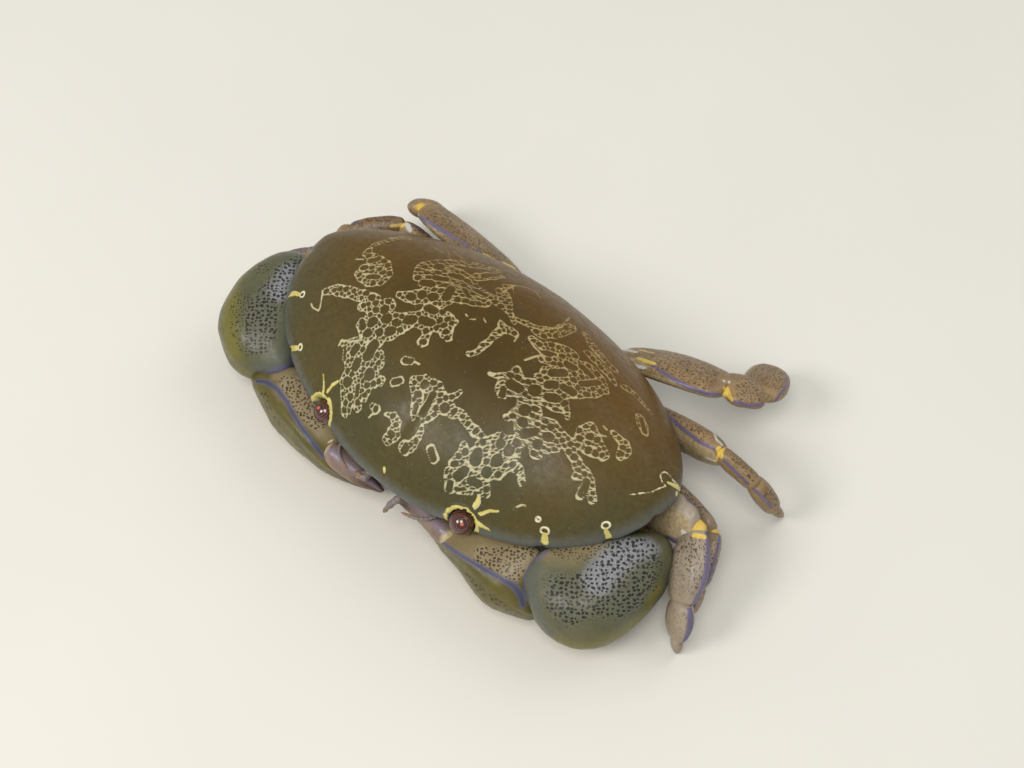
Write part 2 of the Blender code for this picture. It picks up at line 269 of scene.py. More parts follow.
# ------------------------------------------------------------------ meshes
def make(name, verts, faces, look, nodes=(), attrs=None, uv=None, smooth_angle=None):
    """A placed piece from design-frame points, with float fields on its points."""
    me = bpy.data.meshes.new(name)
    me.from_pydata(place(verts).tolist(), [], faces)
    me.update()
    me.shade_smooth()
    if smooth_angle:
        me.set_sharp_from_angle(angle=math.radians(smooth_angle))
    for key, values in (attrs or {}).items():
        a = me.attributes.new(key, "FLOAT", "POINT")
        a.data.foreach_set("value", np.asarray(values, np.float32))
    if uv is not None:
        layer = me.uv_layers.new(name="OFBake")
        loops = np.zeros(len(me.loops), np.int32)
        me.loops.foreach_get("vertex_index", loops)
        layer.data.foreach_set("uv", np.asarray(uv, np.float32)[loops].ravel())
    me.materials.append(look)
    ob = bpy.data.objects.new(name, me)
    bpy.context.scene.collection.objects.link(ob)
    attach(ob, "root")
    if nodes:
        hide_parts(*nodes)
    return ob


def ball_faces(rings, around):
    """Faces of a stack of rings closed by a first and a last point."""
    faces = []
    first = 1
    for j in range(around):
        faces.append((0, first + (j + 1) % around, first + j))
    for i in range(rings - 1):
        a, b = 1 + i * around, 1 + (i + 1) * around
        for j in range(around):
            k = (j + 1) % around
            faces.append((a + j, a + k, b + k, b + j))
    last = 1 + rings * around
    b = 1 + (rings - 1) * around
    for j in range(around):
        faces.append((b + j, b + (j + 1) % around, last))
    return faces


def outward(verts, faces):
    """Turn the faces over if they look inward."""
    v = np.asarray(verts)
    vol = 0.0
    for f in faces[::7]:
        a = v[f[0]]
        b, c = v[f[1]], v[f[2]]
        vol += float(np.dot(a - v.mean(0), np.cross(b - v.mean(0), c - v.mean(0))))
    if vol < 0:
        faces = [tuple(reversed(f)) for f in faces]
    return faces


def hermite(knots, values, t):
    """Smooth curve through values at rising knots, at an array of places t."""
    values = np.asarray(values, float)
    n = len(values)
    t = np.clip(np.atleast_1d(np.asarray(t, float)), 0, 1)
    if n == 1:
        return np.repeat(values, len(t), 0)
    i = np.clip(np.searchsorted(knots, t) - 1, 0, n - 2)
    slopes = np.array([(values[min(j + 1, n - 1)] - values[max(j - 1, 0)])
                       / (knots[min(j + 1, n - 1)] - knots[max(j - 1, 0)]) for j in range(n)])
    h = (knots[i + 1] - knots[i])[:, None]
    u = np.clip((t - knots[i])[:, None] / h, 0, 1)
    return ((2 * u ** 3 - 3 * u ** 2 + 1) * values[i] + (u ** 3 - 2 * u ** 2 + u) * slopes[i] * h
            + (-2 * u ** 3 + 3 * u ** 2) * values[i + 1] + (u ** 3 - u ** 2) * slopes[i + 1] * h)


def arc_knots(pts):
    k = np.concatenate([[0], np.cumsum(np.linalg.norm(np.diff(pts, axis=0), axis=1))])
    return k / k[-1]


class Limb:
    """Rounded segment along a path, laid out like the solids.

    sizes holds (half thickness, half height); up is the direction of the
    upper edge.  verts is (rings, around, 3) plus the two end points.
    """

    def __init__(self, path, sizes, up, around=48, along=48, blunt=0.62, square=1.0,
                 crest=0.0, crest_turn=90.0, crest_power=10, grow=0.0, floor=True):
        pts = np.asarray(path, float)
        knots = arc_knots(pts)
        ups = np.asarray(up, float)
        if ups.ndim == 1:
            ups = np.repeat(ups[None], len(pts), 0)
        c = np.cos(np.pi * np.arange(0, along + 1) / along)
        t = 0.5 * (1 - np.sign(c) * np.abs(c) ** blunt)
        k = np.sqrt(np.maximum(0, 1 - c * c)) ** blunt
        centre = hermite(knots, pts, t)
        d = 0.02
        axis = unit(hermite(knots, pts, np.minimum(t + d, 1)) - hermite(knots, pts, np.maximum(t - d, 0)))
        u0 = unit(hermite(knots, unit(ups), t))
        side = unit(np.cross(axis, u0))
        top = np.cross(side, axis)
        ab = np.maximum(hermite(knots, sizes, t), 0.2) + grow
        turn = 2 * np.pi * np.arange(around) / around
        cu = np.sign(np.cos(turn)) * np.abs(np.cos(turn)) ** square
        su = np.sign(np.sin(turn)) * np.abs(np.sin(turn)) ** square
        ct = math.radians(crest_turn)
        self.crestw = np.maximum(np.cos(turn - ct), 0) ** crest_power
        ridge = crest * k[:, None] * self.crestw[None]
        co = (centre[:, None] + side[:, None] * (ab[:, 0:1] * k[:, None] * cu[None] + ridge * np.cos(turn))[..., None]
              + top[:, None] * (ab[:, 1:2] * k[:, None] * su[None] + ridge * np.sin(turn))[..., None])
        self.rings, self.around = along - 1, around
        inner = co[1:-1].reshape(-1, 3)
        self.verts = np.concatenate([co[0, :1], inner, co[-1, :1]])
        tt = np.repeat(t[1:-1, None], around, 1).ravel()
        self.t = np.concatenate([[t[0]], tt, [t[-1]]])
        tn = np.repeat(turn[None], along - 1, 0).ravel()
        self.turn = np.concatenate([[0], tn, [0]])
        self.side = np.concatenate([side[:1], np.repeat(side[1:-1], around, 0), side[-1:]])
        self.top = np.concatenate([top[:1], np.repeat(top[1:-1], around, 0), top[-1:]])
        self.axis = np.concatenate([axis[:1], np.repeat(axis[1:-1], around, 0), axis[-1:]])
        self.faces = ball_faces(self.rings, around)
        self.faces = outward(self.verts, self.faces)
        self.length = float(np.linalg.norm(np.diff(pts, axis=0), axis=1).sum())
        if floor:
            self.verts[:, 2] = np.maximum(self.verts[:, 2], FLOOR)

    def ridge(self, turn_deg):
        """1 on the line at that turn about the section, falling with the angle."""
        return np.maximum(np.cos(self.turn - math.radians(turn_deg)), 0)

    def normals(self):
        me = bpy.data.meshes.new("n")
        me.from_pydata(self.verts.tolist(), [], self.faces)
        me.update()
        n = np.array([v.normal for v in me.vertices])
        bpy.data.meshes.remove(me)
        return n

    def tree(self):
        return BVHTree.FromPolygons(self.verts.tolist(), self.faces)


def wobble(p, scale, seed, octaves=2):
    """Smooth noise from -1 to 1 at points p (mm), as sums of sines."""
    rng = np.random.default_rng(seed)
    out = np.zeros(len(p))
    amp, total = 1.0, 0.0
    for o in range(octaves):
        for _ in range(5):
            k = unit(rng.normal(size=3)) * 2 * np.pi / scale * rng.uniform(0.7, 1.3)
            out += amp * np.sin(p @ k + rng.uniform(0, 6.28))
            total += amp * 0.5
        amp *= 0.5
        scale *= 0.5
    return np.clip(out / (total + 1e-9), -1, 1)


def seg_dist(p, a, b, ra, rb):
    """Distance from points p to a tapering capsule (negative inside)."""
    ab = b - a
    h = np.clip(((p - a) @ ab) / max(float(ab @ ab), 1e-9), 0, 1)
    return np.linalg.norm(p - a - h[:, None] * ab, axis=1) - (ra + (rb - ra) * h)


def chain_dist(p, pts, radii):
    if len(pts) == 1:
        return np.linalg.norm(p - pts[0], axis=1) - radii[0]
    return np.min([seg_dist(p, pts[i], pts[i + 1], radii[i], radii[i + 1])
                   for i in range(len(pts) - 1)], axis=0)


ALONG, ACROSS = (0.749, 0.662, 0.0), (-0.559, 0.632, 0.535)


def pick(tree, px):
    """Points where pixels of the frame fall on a surface (or the nearest to the ray)."""
    out = []
    for d in ray(px):
        hit = tree.ray_cast(Vector(EYE_POINT), Vector(d))[0]
        if hit is None:
            best = None
            for s in np.linspace(150, 200, 26):
                q = tree.find_nearest(Vector(EYE_POINT + d * s))
                if best is None or q[3] < best[0]:
                    best = (q[3], q[0])
            hit = best[1]
        out.append(hit)
    return np.array(out, float)


PX = 0.106  # millimetres in a pixel at the middle of the animal


def field(p, tree, marks, none=-9.0):
    """Depth inside a set of marks, in mm.  A mark is a list of (x, y, radius) pixels."""
    best = np.full(len(p), none)
    for mark in marks:
        fine = [mark[0]]
        for a, b in zip(mark, mark[1:]):  # short steps, so that a line follows the surface
            steps = max(1, int(math.hypot(b[0] - a[0], b[1] - a[1]) / 4))
            fine += [tuple(np.array(a) + (np.array(b) - np.array(a)) * q / steps) for q in range(1, steps + 1)]
        pts = pick(tree, [m[:2] for m in fine])
        best = np.maximum(best, -chain_dist(p, pts, [m[2] * PX for m in fine]))
    return best


# ---------------------------------------------------------------- carapace
def outline(turn):
    """Edge of the carapace in plan at angles about the waist point."""
    turn = np.asarray(turn, float)
    c, s = np.abs(np.cos(turn)), np.sin(turn)
    front = ((c / HALF_WIDTH) ** FRONT_POWER + (np.maximum(-s, 0) / FRONT_LEN) ** FRONT_POWER) ** (-1 / FRONT_POWER)
    rear = ((c / HALF_WIDTH) ** REAR_POWER + (np.maximum(s, 0) / REAR_LEN) ** REAR_POWER) ** (-1 / REAR_POWER)
    rear = np.where(s > 1e-6, (rear ** -9.0 + (REAR_CUT / np.maximum(s, 1e-6)) ** -9.0) ** (-1 / 9), rear)
    r = np.where(s < 0, front, rear)
    x, y = r * np.cos(turn), WAIST_Y + r * s
    return x, np.where(s < 0, y - 0.55 * np.exp(-(x / 7.0) ** 4), y)


def edge_level(y):
    f = -FRONT_DROP * np.clip((WAIST_Y - y) / FRONT_LEN, 0, 1) ** 2
    r = -REAR_DROP * np.clip((y - WAIST_Y) / REAR_CUT, 0, 1) ** 1.5
    return np.where(y < WAIST_Y, f, r)


def shell_floor(y):
    return SHELL_FLOOR - 0.24 * np.maximum(0.0, y)


def dome(rho, turn):
    ex, ey = outline(turn)
    level = edge_level(ey)
    x, y = rho * ex, WAIST_Y + rho * (ey - WAIST_Y)
    z = level + (DOME - level) * np.maximum(0.0, 1 - rho ** 2) ** (1 / 1.5)
    return np.stack([x, y, z], -1)


def dome_z(x, y):
    turn = np.arctan2(y - WAIST_Y, x)
    ex, ey = outline(turn)
    rho = np.hypot(x, y - WAIST_Y) / np.hypot(ex, ey - WAIST_Y)
    level = edge_level(ey)
    return level + (DOME - level) * np.maximum(0.0, 1 - np.minimum(rho, 1) ** 2) ** (1 / 1.5)


def on_dome(px):
    """Points of the carapace's upper face seen at pixels of the frame."""
    d = ray(px)
    z = np.full(len(d), 4.0)
    for _ in range(60):
        s = (z - EYE_POINT[2]) / d[:, 2]
        p = EYE_POINT + s[:, None] * d
        z = 0.5 * z + 0.5 * dome_z(p[:, 0], p[:, 1])
    s = (z - EYE_POINT[2]) / d[:, 2]
    return EYE_POINT + s[:, None] * d


NX, NY = 336, 220
gi, gj = np.meshgrid(np.arange(NX + 1), np.arange(NY + 1), indexing="ij")
ga, gb = gi / NX * 2 - 1, gj / NY * 2 - 1
rr = np.maximum(np.abs(ga), np.abs(gb))
wide = np.abs(ga) >= np.abs(gb)
with np.errstate(divide="ignore", invalid="ignore"):
    phi = np.where(wide, np.pi / 4 * gb / np.where(ga == 0, 1, ga) + np.where(ga < 0, np.pi, 0),
                   np.pi / 2 - np.pi / 4 * ga / np.where(gb == 0, 1, gb) + np.where(gb < 0, np.pi, 0))
# grid angle -> angle about the waist point, stretched with the oval
turn = np.arctan2(np.sin(phi) * 16.5, np.cos(phi) * 23.0)
rho = 1 - (1 - rr) ** 1.18
top = dome(rho.ravel(), turn.ravel())
top_rho = rho.ravel()
n_top = len(top)

loop = ([(i, 0) for i in range(NX)] + [(NX, j) for j in range(NY)]
        + [(i, NY) for i in range(NX, 0, -1)] + [(0, j) for j in range(NY, 0, -1)])
edge_ids = [i * (NY + 1) + j for i, j in loop]
edge_turn = turn.ravel()[edge_ids]
UNDER = 12
under = []
for k in range(1, UNDER + 1):
    q = 0.75 * k / UNDER
    r = 1 - 0.34 * min(q / 0.6, 1.0) if q < 0.6 else 0.66 * (1 - (q - 0.6) / 0.4)
    ex, ey = outline(edge_turn)
    x, y = r * ex, WAIST_Y + r * (ey - WAIST_Y)
    lv = edge_level(ey)
    depth = min(q / 0.6, 1.0) ** 0.62
    under.append(np.stack([x, y, lv + (shell_floor(y) - lv) * depth], -1))
under_rho = np.concatenate([np.full(len(edge_ids), 1 - 0.34 * k / UNDER) for k in range(1, UNDER + 1)])
cara = np.concatenate([top] + under + [np.array([[0, WAIST_Y, SHELL_FLOOR]])])
faces = []
for i in range(NX):
    for j in range(NY):
        a = i * (NY + 1) + j
        faces.append((a, a + NY + 1, a + NY + 2, a + 1))
m = len(edge_ids)
prev = edge_ids
for k in range(UNDER):
    cur = [n_top + k * m + j for j in range(m)]
    for j in range(m):
        e = (j + 1) % m
        faces.append((prev[j], cur[j], cur[e], prev[e]))
    prev = cur
last = len(cara) - 1
for j in range(m):
    faces.append((prev[j], last, prev[(j + 1) % m]))

is_top = np.zeros(len(cara), bool)
is_top[:n_top] = True
# margin distance, measured down the surface
edge_xyz = top[edge_ids]
ex, ey = outline(turn.ravel())
lv = edge_level(ey)
to_edge = np.hypot((1 - top_rho) * np.hypot(ex, ey - WAIST_Y), top[:, 2] - lv)
edge_mm = np.concatenate([to_edge, np.zeros(len(cara) - n_top)])

# faint relief of the regions, and small notches between the lobes of the margin
p0 = cara.copy()
relief = 0.10 * wobble(p0, 16.0, 3) + 0.025 * wobble(p0, 4.0, 4)
fade = smooth(edge_mm, 0.3, 3.0)
groove = np.zeros(len(cara))
for path_mm, width, deep in (
        ([(-7.5, -4.0), (-6.5, 0.5), (-2.5, 2.6), (2.5, 2.6), (6.5, 0.5), (7.5, -4.0)], 1.3, 0.16),
        ([(0, -17.0), (0, -11.5)], 0.8, 0.14),
        ([(7.5, -4.0), (11.5, -9.5), (13.0, -13.5)], 1.3, 0.12),
        ([(-7.5, -4.0), (-11.5, -9.5), (-13.0, -13.5)], 1.3, 0.12)):
    pts = np.array([(x, y, 0.0) for x, y in path_mm])
    flat = p0.copy()
    flat[:, 2] = 0
    dd = chain_dist(flat, pts, [0.0] * len(pts))
    groove = np.maximum(groove, deep * np.exp(-(dd / width) ** 2))
nrm = unit(np.stack([p0[:, 0] / HALF_WIDTH ** 2, (p0[:, 1] - WAIST_Y) / FRONT_LEN ** 2, np.full(len(p0), 1 / 9.0)], -1))
cara[is_top] -= (nrm * ((0.10 - relief + groove) * fade)[:, None])[is_top]
MARKS_MM = [(18.0, -14.1), (22.9, -9.5), (24.9, -4.6), (-18.0, -14.1), (-22.9, -9.5), (-24.9, -4.6)]
for mx, my in MARKS_MM:
    d2 = (p0[:, 0] - mx) ** 2 + (p0[:, 1] - my) ** 2
    pull = 0.28 * np.exp(-d2 / 0.55 ** 2)
    cara[:, 0] -= pull * np.sign(mx) * abs(mx) / math.hypot(mx, my)
    cara[:, 1] -= pull * my / math.hypot(mx, my)

# eye sockets: the front margin bends round each eye, with a low rim
eye_d = {}
for side, sx in (("L", 1), ("R", -1)):
    c = EYE_AT * np.array([sx, 1, 1])
    v = cara - c
    eye_d[side] = np.linalg.norm(v, axis=1)
    rim = 0.20 * np.exp(-((eye_d[side] - 1.95) / 0.35) ** 2) * is_top
    cara[:, 2] += rim * (eye_d[side] >= SOCKET_R)
    v = cara - c
    out_dir = unit(np.array([0.30 * sx, -0.62, 0.72]))
    along = v @ out_dir
    across = np.linalg.norm(v - along[:, None] * out_dir, axis=1)
    ball_r = np.where(is_top, SOCKET_R, SOCKET_R + 0.25)
    near = (across < ball_r) & (along > -3.0) & (along < 4.0)
    floor_at = -np.sqrt(np.maximum(ball_r ** 2 - across ** 2, 0))
    cara[near] += (np.minimum(along, floor_at) - along)[near][:, None] * out_dir

# --------------------------------------------------------- the lace pattern
# Patches of net, as chains of (x, y, radius) in pixels of the frame.
PATCHES = [
    [(325, 291, 4), (334, 289, 6), (346, 291, 7), (357, 294, 7), (367, 297, 6), (374, 299, 6)],
    [(374, 300, 6), (373, 308, 8), (372, 320, 10), (366, 330, 9), (360, 324, 5)],
    [(366, 306, 6), (362, 306, 5)],
    [(380, 309, 8), (387, 305, 8), (389, 302, 5)],
    [(384, 318, 11), (396, 321, 9), (410, 319, 9), (420, 318, 9), (430, 321, 11), (441, 323, 10), (449, 321, 7), (454, 322, 4)],
    [(367, 333, 8), (379, 332, 9), (390, 331, 9), (400, 327, 7), (407, 324, 5)],
    [(445, 328, 8), (447, 337, 4.5)],
    [(428, 328, 6), (426, 335, 4), (423, 341, 5)],
    [(421, 313, 4), (430, 309, 8), (438, 312, 6), (444, 316, 7), (451, 318, 4)],
    [(344, 343, 4), (352, 346, 9), (351, 360, 9), (351, 372, 8), (348, 384, 11), (348, 397, 10), (346, 407, 7), (344, 413, 4)],
    [(375, 342, 8), (369, 356, 9), (369, 372, 10), (366, 385, 8), (364, 396, 5)],
    [(379, 354, 5), (379, 363, 5)], [(372, 381, 7), (380, 381, 5)],
    [(360, 345, 6), (361, 372, 6), (359, 393, 6), (357, 408, 4)],
    [(366, 253, 4), (374, 258, 7), (384, 264, 7), (386, 273, 7), (380, 280, 6), (370, 281, 6), (361, 277, 5), (357, 273, 3.5)],
    [(364, 267, 5), (372, 269, 6), (378, 270, 6)],
    [(368, 251, 4), (372, 245, 2.6), (380, 242, 2.2), (388, 240, 3), (396, 238, 3.6), (404, 238, 3.4), (410, 239, 2)],
    [(399, 294, 3.5), (406, 296, 6), (415, 296, 8), (428, 294, 10), (440, 294, 10), (452, 294, 9), (462, 297, 8), (474, 301, 6), (486, 303, 5)],
    [(419, 276, 6), (423, 266, 7), (434, 264, 8), (447, 262, 6), (460, 262, 6), (472, 264, 6), (484, 266, 5), (497, 270, 4)],
    [(430, 280, 10), (442, 274, 12), (456, 274, 12), (466, 280, 11), (472, 290, 9)],
    [(478, 276, 6), (490, 275, 7), (502, 276, 3)],
    [(474, 288, 7), (484, 294, 7), (494, 299, 5), (503, 306, 5), (511, 313, 3), (514, 322, 2)],
    [(502, 290, 6), (505, 298, 7), (509, 307, 4)],
    [(436, 303, 4), (441, 305, 4), (447, 302, 4)],
    [(505, 285, 3), (514, 285, 1.6)],
    [(517, 319, 2.5), (530, 324, 4), (542, 331, 8), (555, 332, 7), (566, 329, 7), (573, 327, 4)],
    [(533, 338, 4), (542, 345, 4), (553, 345, 6), (564, 349, 6), (573, 354, 6)],
    [(543, 357, 4), (552, 360, 6), (563, 362, 6)],
    [(561, 350, 4), (570, 363, 8), (582, 367, 9), (592, 371, 8), (600, 379, 7), (604, 388, 6)],
    [(548, 372, 8), (560, 372, 8), (573, 376, 8), (586, 382, 10), (598, 384, 8)],
    [(586, 335, 4), (592, 345, 5), (600, 354, 5), (608, 363, 4), (616, 370, 3)],
    [(588, 352, 4), (598, 362, 5), (608, 372, 5), (615, 382, 3)],
    [(623, 386, 2.4), (630, 389, 3), (638, 396, 3), (645, 404, 2.6), (651, 411, 2)],
    [(490, 373, 1.6), (499, 375, 3.5), (508, 377, 5), (517, 375, 6), (517, 369, 4.5)],
    [(503, 379, 5), (503, 388, 7), (502, 394, 4)],
    [(508, 386, 9), (520, 386, 10), (535, 389, 11), (550, 388, 11), (567, 389, 10), (582, 390, 8), (593, 391, 7), (603, 389, 5)],
    [(540, 376, 5), (546, 381, 6)],
    [(553, 398, 8), (563, 402, 6), (566, 409, 3), (567, 418, 1.6)], [(545, 403, 3), (555, 408, 3), (563, 411, 2.5)],
    [(524, 399, 6), (525, 409, 9), (515, 413, 6), (508, 417, 4)],
    [(536, 405, 5), (535, 415, 6)],
    [(523, 421, 9), (524, 432, 9), (536, 431, 9), (545, 425, 7), (552, 426, 6)],
    [(548, 437, 9), (538, 444, 9), (537, 453, 6)], [(556, 438, 7), (556, 445, 5)], [(546, 450, 4), (556, 448, 4)],
    [(553, 426, 5), (562, 437, 5), (569, 444, 6), (573, 455, 5), (578, 466, 5), (584, 473, 6), (590, 481, 4), (593, 490, 3), (592, 500, 4)],
    [(573, 447, 5), (579, 440, 4), (583, 431, 6), (590, 428, 6), (596, 437, 5), (601, 447, 5), (604, 455, 5)],
    [(586, 448, 4), (594, 453, 5)], [(590, 441, 6)], [(577, 476, 4), (586, 476, 4)],
    [(587, 482, 3.4), (584, 490, 5), (580, 496, 3.4)],
    [(518, 441, 7), (509, 446, 10), (500, 444, 9)], [(497, 460, 10), (487, 471, 9)],
    [(484, 441, 6), (480, 452, 9), (475, 458, 9)], [(500, 437, 5), (492, 439, 4)],
    [(462, 474, 10), (475, 482, 9), (484, 487, 6), (486, 494, 4)],
    [(455, 464, 6), (464, 453, 6), (464, 445, 2.6)], [(449, 472, 5), (450, 487, 6)], [(459, 489, 5), (470, 492, 3)],
    [(498, 474, 5), (505, 466, 5), (512, 464, 6), (518, 469, 5), (522, 477, 3)], [(517, 455, 3), (517, 446, 3)],
    [(482, 437, 4), (475, 431, 4.6), (468, 423, 4.8), (462, 415, 4.4), (457, 412, 4)],
    [(455, 414, 4), (446, 407, 8.5), (442, 397, 6), (435, 387, 7), (425, 382, 8), (415, 380, 5)],
    [(414, 384, 5), (417, 393, 6), (416, 404, 4.6), (413, 414, 3), (412, 419, 1.6)],
    [(440, 404, 5), (434, 412, 5), (427, 418, 4.4), (422, 422, 2)],
    [(449, 397, 4), (456, 394, 2.6), (460, 391, 1.6)],
    [(405, 360, 4), (410, 360, 4)], [(394, 382, 4.6), (399, 380, 4.4)], [(372, 406, 3), (377, 409, 4)],
    [(386, 414, 1.8), (393, 416, 3.6), (396, 424, 5.4), (393, 433, 7), (387, 440, 5)],
    [(405, 448, 7), (411, 446, 5), (418, 438, 3.2), (421, 431, 3), (422, 427, 1.8)],
    [(431, 449, 4.4), (434, 459, 4.4)],
    [(613, 433, 2.4), (619, 438, 3), (624, 444, 5), (625, 451, 7), (620, 456, 4)],
    [(640, 417, 5), (643, 425, 6), (645, 432, 4)],
    [(470, 353, 3), (478, 351, 2.6), (483, 345, 3.6), (490, 340, 2.8), (497, 333, 4.6), (501, 328, 4), (510, 330, 4), (516, 334, 3)],
]
# Large cells of the net: (x, y, radius), or (x0, y0, x1, y1, radius) for long ones.
CELLS = [
    (384, 308.5, 5), (371.7, 321, 5.3), (386, 317.5, 5.8), (396.5, 322, 4.5), (408, 319, 412, 319, 5), (388, 330.5, 391, 330, 5),
    (379, 331.5, 4.4), (367, 332.5, 5), (368.5, 303.5, 3), (363, 305.5, 2.7), (361, 320, 362, 327, 3), (421, 319, 431, 322, 4),
    (428, 307, 434, 311, 3.8), (421.5, 294, 5), (433, 295.5, 5.3), (409, 295.5, 413, 296, 3.6), (423, 282, 431, 283, 4), (439.5, 266, 5.6),
    (427, 272, 3.3), (425, 266, 3), (435, 277, 446, 278, 3), (453, 274, 461, 276, 3.7), (451, 287, 446, 297, 4.5), (449, 261, 457, 262, 2),
    (464, 284, 3), (464, 289, 469, 296, 2), (475, 289, 486, 295, 2.3), (484, 275, 498, 274, 3.6), (423, 340.5, 3), (436.5, 327, 2.8),
    (444, 324.5, 2.8), (447, 337, 2.4), (440, 303.5, 2), (356, 347, 353, 352, 4), (357, 362, 355, 367, 4.2),
    (347.3, 382, 5.3), (349.5, 397, 3.6), (357.5, 386, 356.5, 395, 2.2), (369, 374.5, 5.8), (374, 344, 367, 356, 5), (377, 354, 2.8),
    (378, 362, 2.4), (371.5, 364.5, 2.1), (378.5, 381, 2.6), (366.5, 385, 3), (344, 410, 2.7), (343, 394, 2), (364.5, 395, 2.2),
    (345, 347, 344, 360, 1.5), (370, 260, 378, 258, 3.4), (361, 267, 366, 267, 2.4), (369, 276, 377, 276, 3), (512, 384, 518, 387, 5.4),
    (535, 389.5, 6), (548, 384, 556, 385, 4), (552, 372, 564, 372, 4.2), (568, 363, 574, 367, 3.8), (563, 386, 573, 392, 3.6),
    (548, 397, 557, 398, 4), (582, 383, 599, 382, 3), (582, 366, 592, 375, 3), (503, 387, 502, 394, 2.6), (516.5, 369.5, 2.6),
    (525, 409, 5.4), (522.7, 421.8, 4.8), (524, 434, 535, 431, 4), (548, 437, 4.8), (537.3, 444, 4.8), (551, 427, 3), (543, 427, 2.4),
    (516.3, 442.3, 4), (509, 450.5, 5), (500.3, 443.8, 4.6), (496.6, 461, 6), (486.5, 472, 5.2), (477, 454, 475, 460, 5.2),
    (482.5, 442, 3.2), (458, 475.5, 464, 471, 4.8), (471.5, 481, 478, 484, 4), (454.7, 464, 2.8), (465.2, 452, 3), (450, 483, 449, 490, 2.6),
    (456, 489, 464, 489, 1.7), (498.3, 474, 2.8), (512.3, 464.3, 2.8), (505, 465.5, 2.2), (586.5, 481, 582, 494, 3), (590.5, 498.5, 2.4),
    (590, 436, 3.6), (602.3, 455, 2.2), (432, 395, 422, 414, 4.2), (424.7, 383.6, 4.5), (417.5, 393.5, 3.3), (444.7, 407.6, 4.6),
    (414.5, 382, 2.2), (416, 405, 414.5, 412, 2), (428, 418.5, 2), (468, 423.5, 2.4), (462.5, 416, 2.2), (475.5, 431, 2.6),
    (406, 447, 404, 450, 3.4), (391, 434, 3.4), (395.5, 424.5, 2.6), (431.3, 450, 433.5, 459, 2.3), (405, 359.5, 410, 360, 2.4),
    (394, 381.6, 398.5, 380.5, 2.8), (376, 408.5, 2.4), (623, 447, 2.6), (641, 418, 645, 431, 2.4), (556, 441, 2.4), (483, 345, 1.8),
    (402, 238.5, 394, 239, 1.4), (563, 355, 3), (574, 379, 3), (499, 331, 1.8),
]
# Plain lines of the net, in pixels, with their half widths.
STROKES = [
    ([(322, 290), (321, 298), (320, 306), (318, 311), (313, 308), (311, 303)], 1.0),
    ([(338, 345), (341, 339), (347, 341), (358, 340)], 1.0), ([(414, 360), (419, 363)], 1.2),
    ([(525, 359), (532, 357), (540, 354)], 1.1), ([(531, 341), (534, 346), (541, 352), (545, 358)], 1.1),
    ([(497, 325), (500, 320), (506, 325)], 0.9), ([(516, 337), (514, 341)], 0.9), ([(488, 373), (500, 379)], 0.8),
    ([(377, 413), (372, 414), (368, 418)], 1.0), ([(518, 480), (521, 486)], 1.1), ([(522, 477), (525, 481)], 0.9),
    ([(478, 495), (479, 503), (475, 509)], 1.5), ([(516, 507), (521, 505), (525, 506)], 1.1),
    ([(355, 258), (363, 259)], 0.9), ([(341, 258), (341, 258)], 0.1), ([(603, 425), (607, 429)], 0.9), ([(602, 435), (606, 436)], 0.8),
    ([(466, 314), (467, 316)], 1.0), ([(470, 319), (475, 319)], 0.9), ([(484, 318), (486, 322)], 0.9),
    ([(442, 240), (447, 248), (450, 258)], 0.7), ([(450, 246), (456, 253), (463, 258)], 0.6), ([(432, 246), (444, 252)], 0.6),
    ([(514, 285), (526, 287), (536, 292), (541, 298)], 0.7), ([(515, 320), (526, 325), (541, 328), (557, 328), (563, 325), (570, 317)], 0.9), ([(513, 286), (513, 318)], 0.9), ([(513, 286), (504, 290), (501, 288)], 0.9),
]


def path3(marks):
    pts = on_dome([mk[:2] for mk in marks])
    return pts


warp = np.stack([wobble(p0, 1.7, 11), wobble(p0, 1.7, 12), wobble(p0, 1.7, 13)], -1) * 0.07
surf = p0 + warp
patch = np.full(len(cara), 9.0)
coarse = {}
for chain in PATCHES:
    pts = path3(chain)
    radii = [c[2] * PX for c in chain]
    lo, hi = pts.min(0) - 2.5, pts.max(0) + 2.5
    near = np.where(is_top & np.all((surf > lo) & (surf < hi), axis=1))[0]
    patch[near] = np.minimum(patch[near], chain_dist(surf[near], pts, radii))

W_LINE, PAD = 0.104, 0.10
zone = np.where(patch < 1.4)[0]
zp = surf[zone]
room = np.full(len(zone), 9.0)     # distance to the nearest cell's rim
first = np.full(len(zone), 9.0)
second = np.full(len(zone), 9.0)


def add_cell(a, b, r):
    global room, first, second
    d = seg_dist(zp, a, b, r, r)
    room = np.minimum(room, d)
    second = np.minimum(second, np.maximum(first, d))
    first = np.minimum(first, d)


for cell in CELLS:
    if len(cell) == 3:
        pts = on_dome([cell[:2], cell[:2]])
    else:
        pts = on_dome([cell[:2], cell[2:4]])
    add_cell(pts[0], pts[1], cell[-1] * PX + 0.01)
rng = np.random.default_rng(7)
rag = patch[zone] + 0.09 * wobble(zp, 1.0, 21)
depth_in = -rag
n_small = 0
while n_small < 1400:
    avail = np.minimum(room - W_LINE, depth_in - 0.5 * W_LINE)
    k = int(np.argmax(avail))
    if avail[k] < 0.07:
        break
    r = float(min(avail[k], rng.uniform(0.12, 0.36)))
    # of the places with room for this size, take one beside what is there
    good = np.where(avail >= r)[0]
    k = int(good[np.argmin(avail[good])]) if r < avail[k] else k
    add_cell(zp[k], zp[k], r)
    n_small += 1
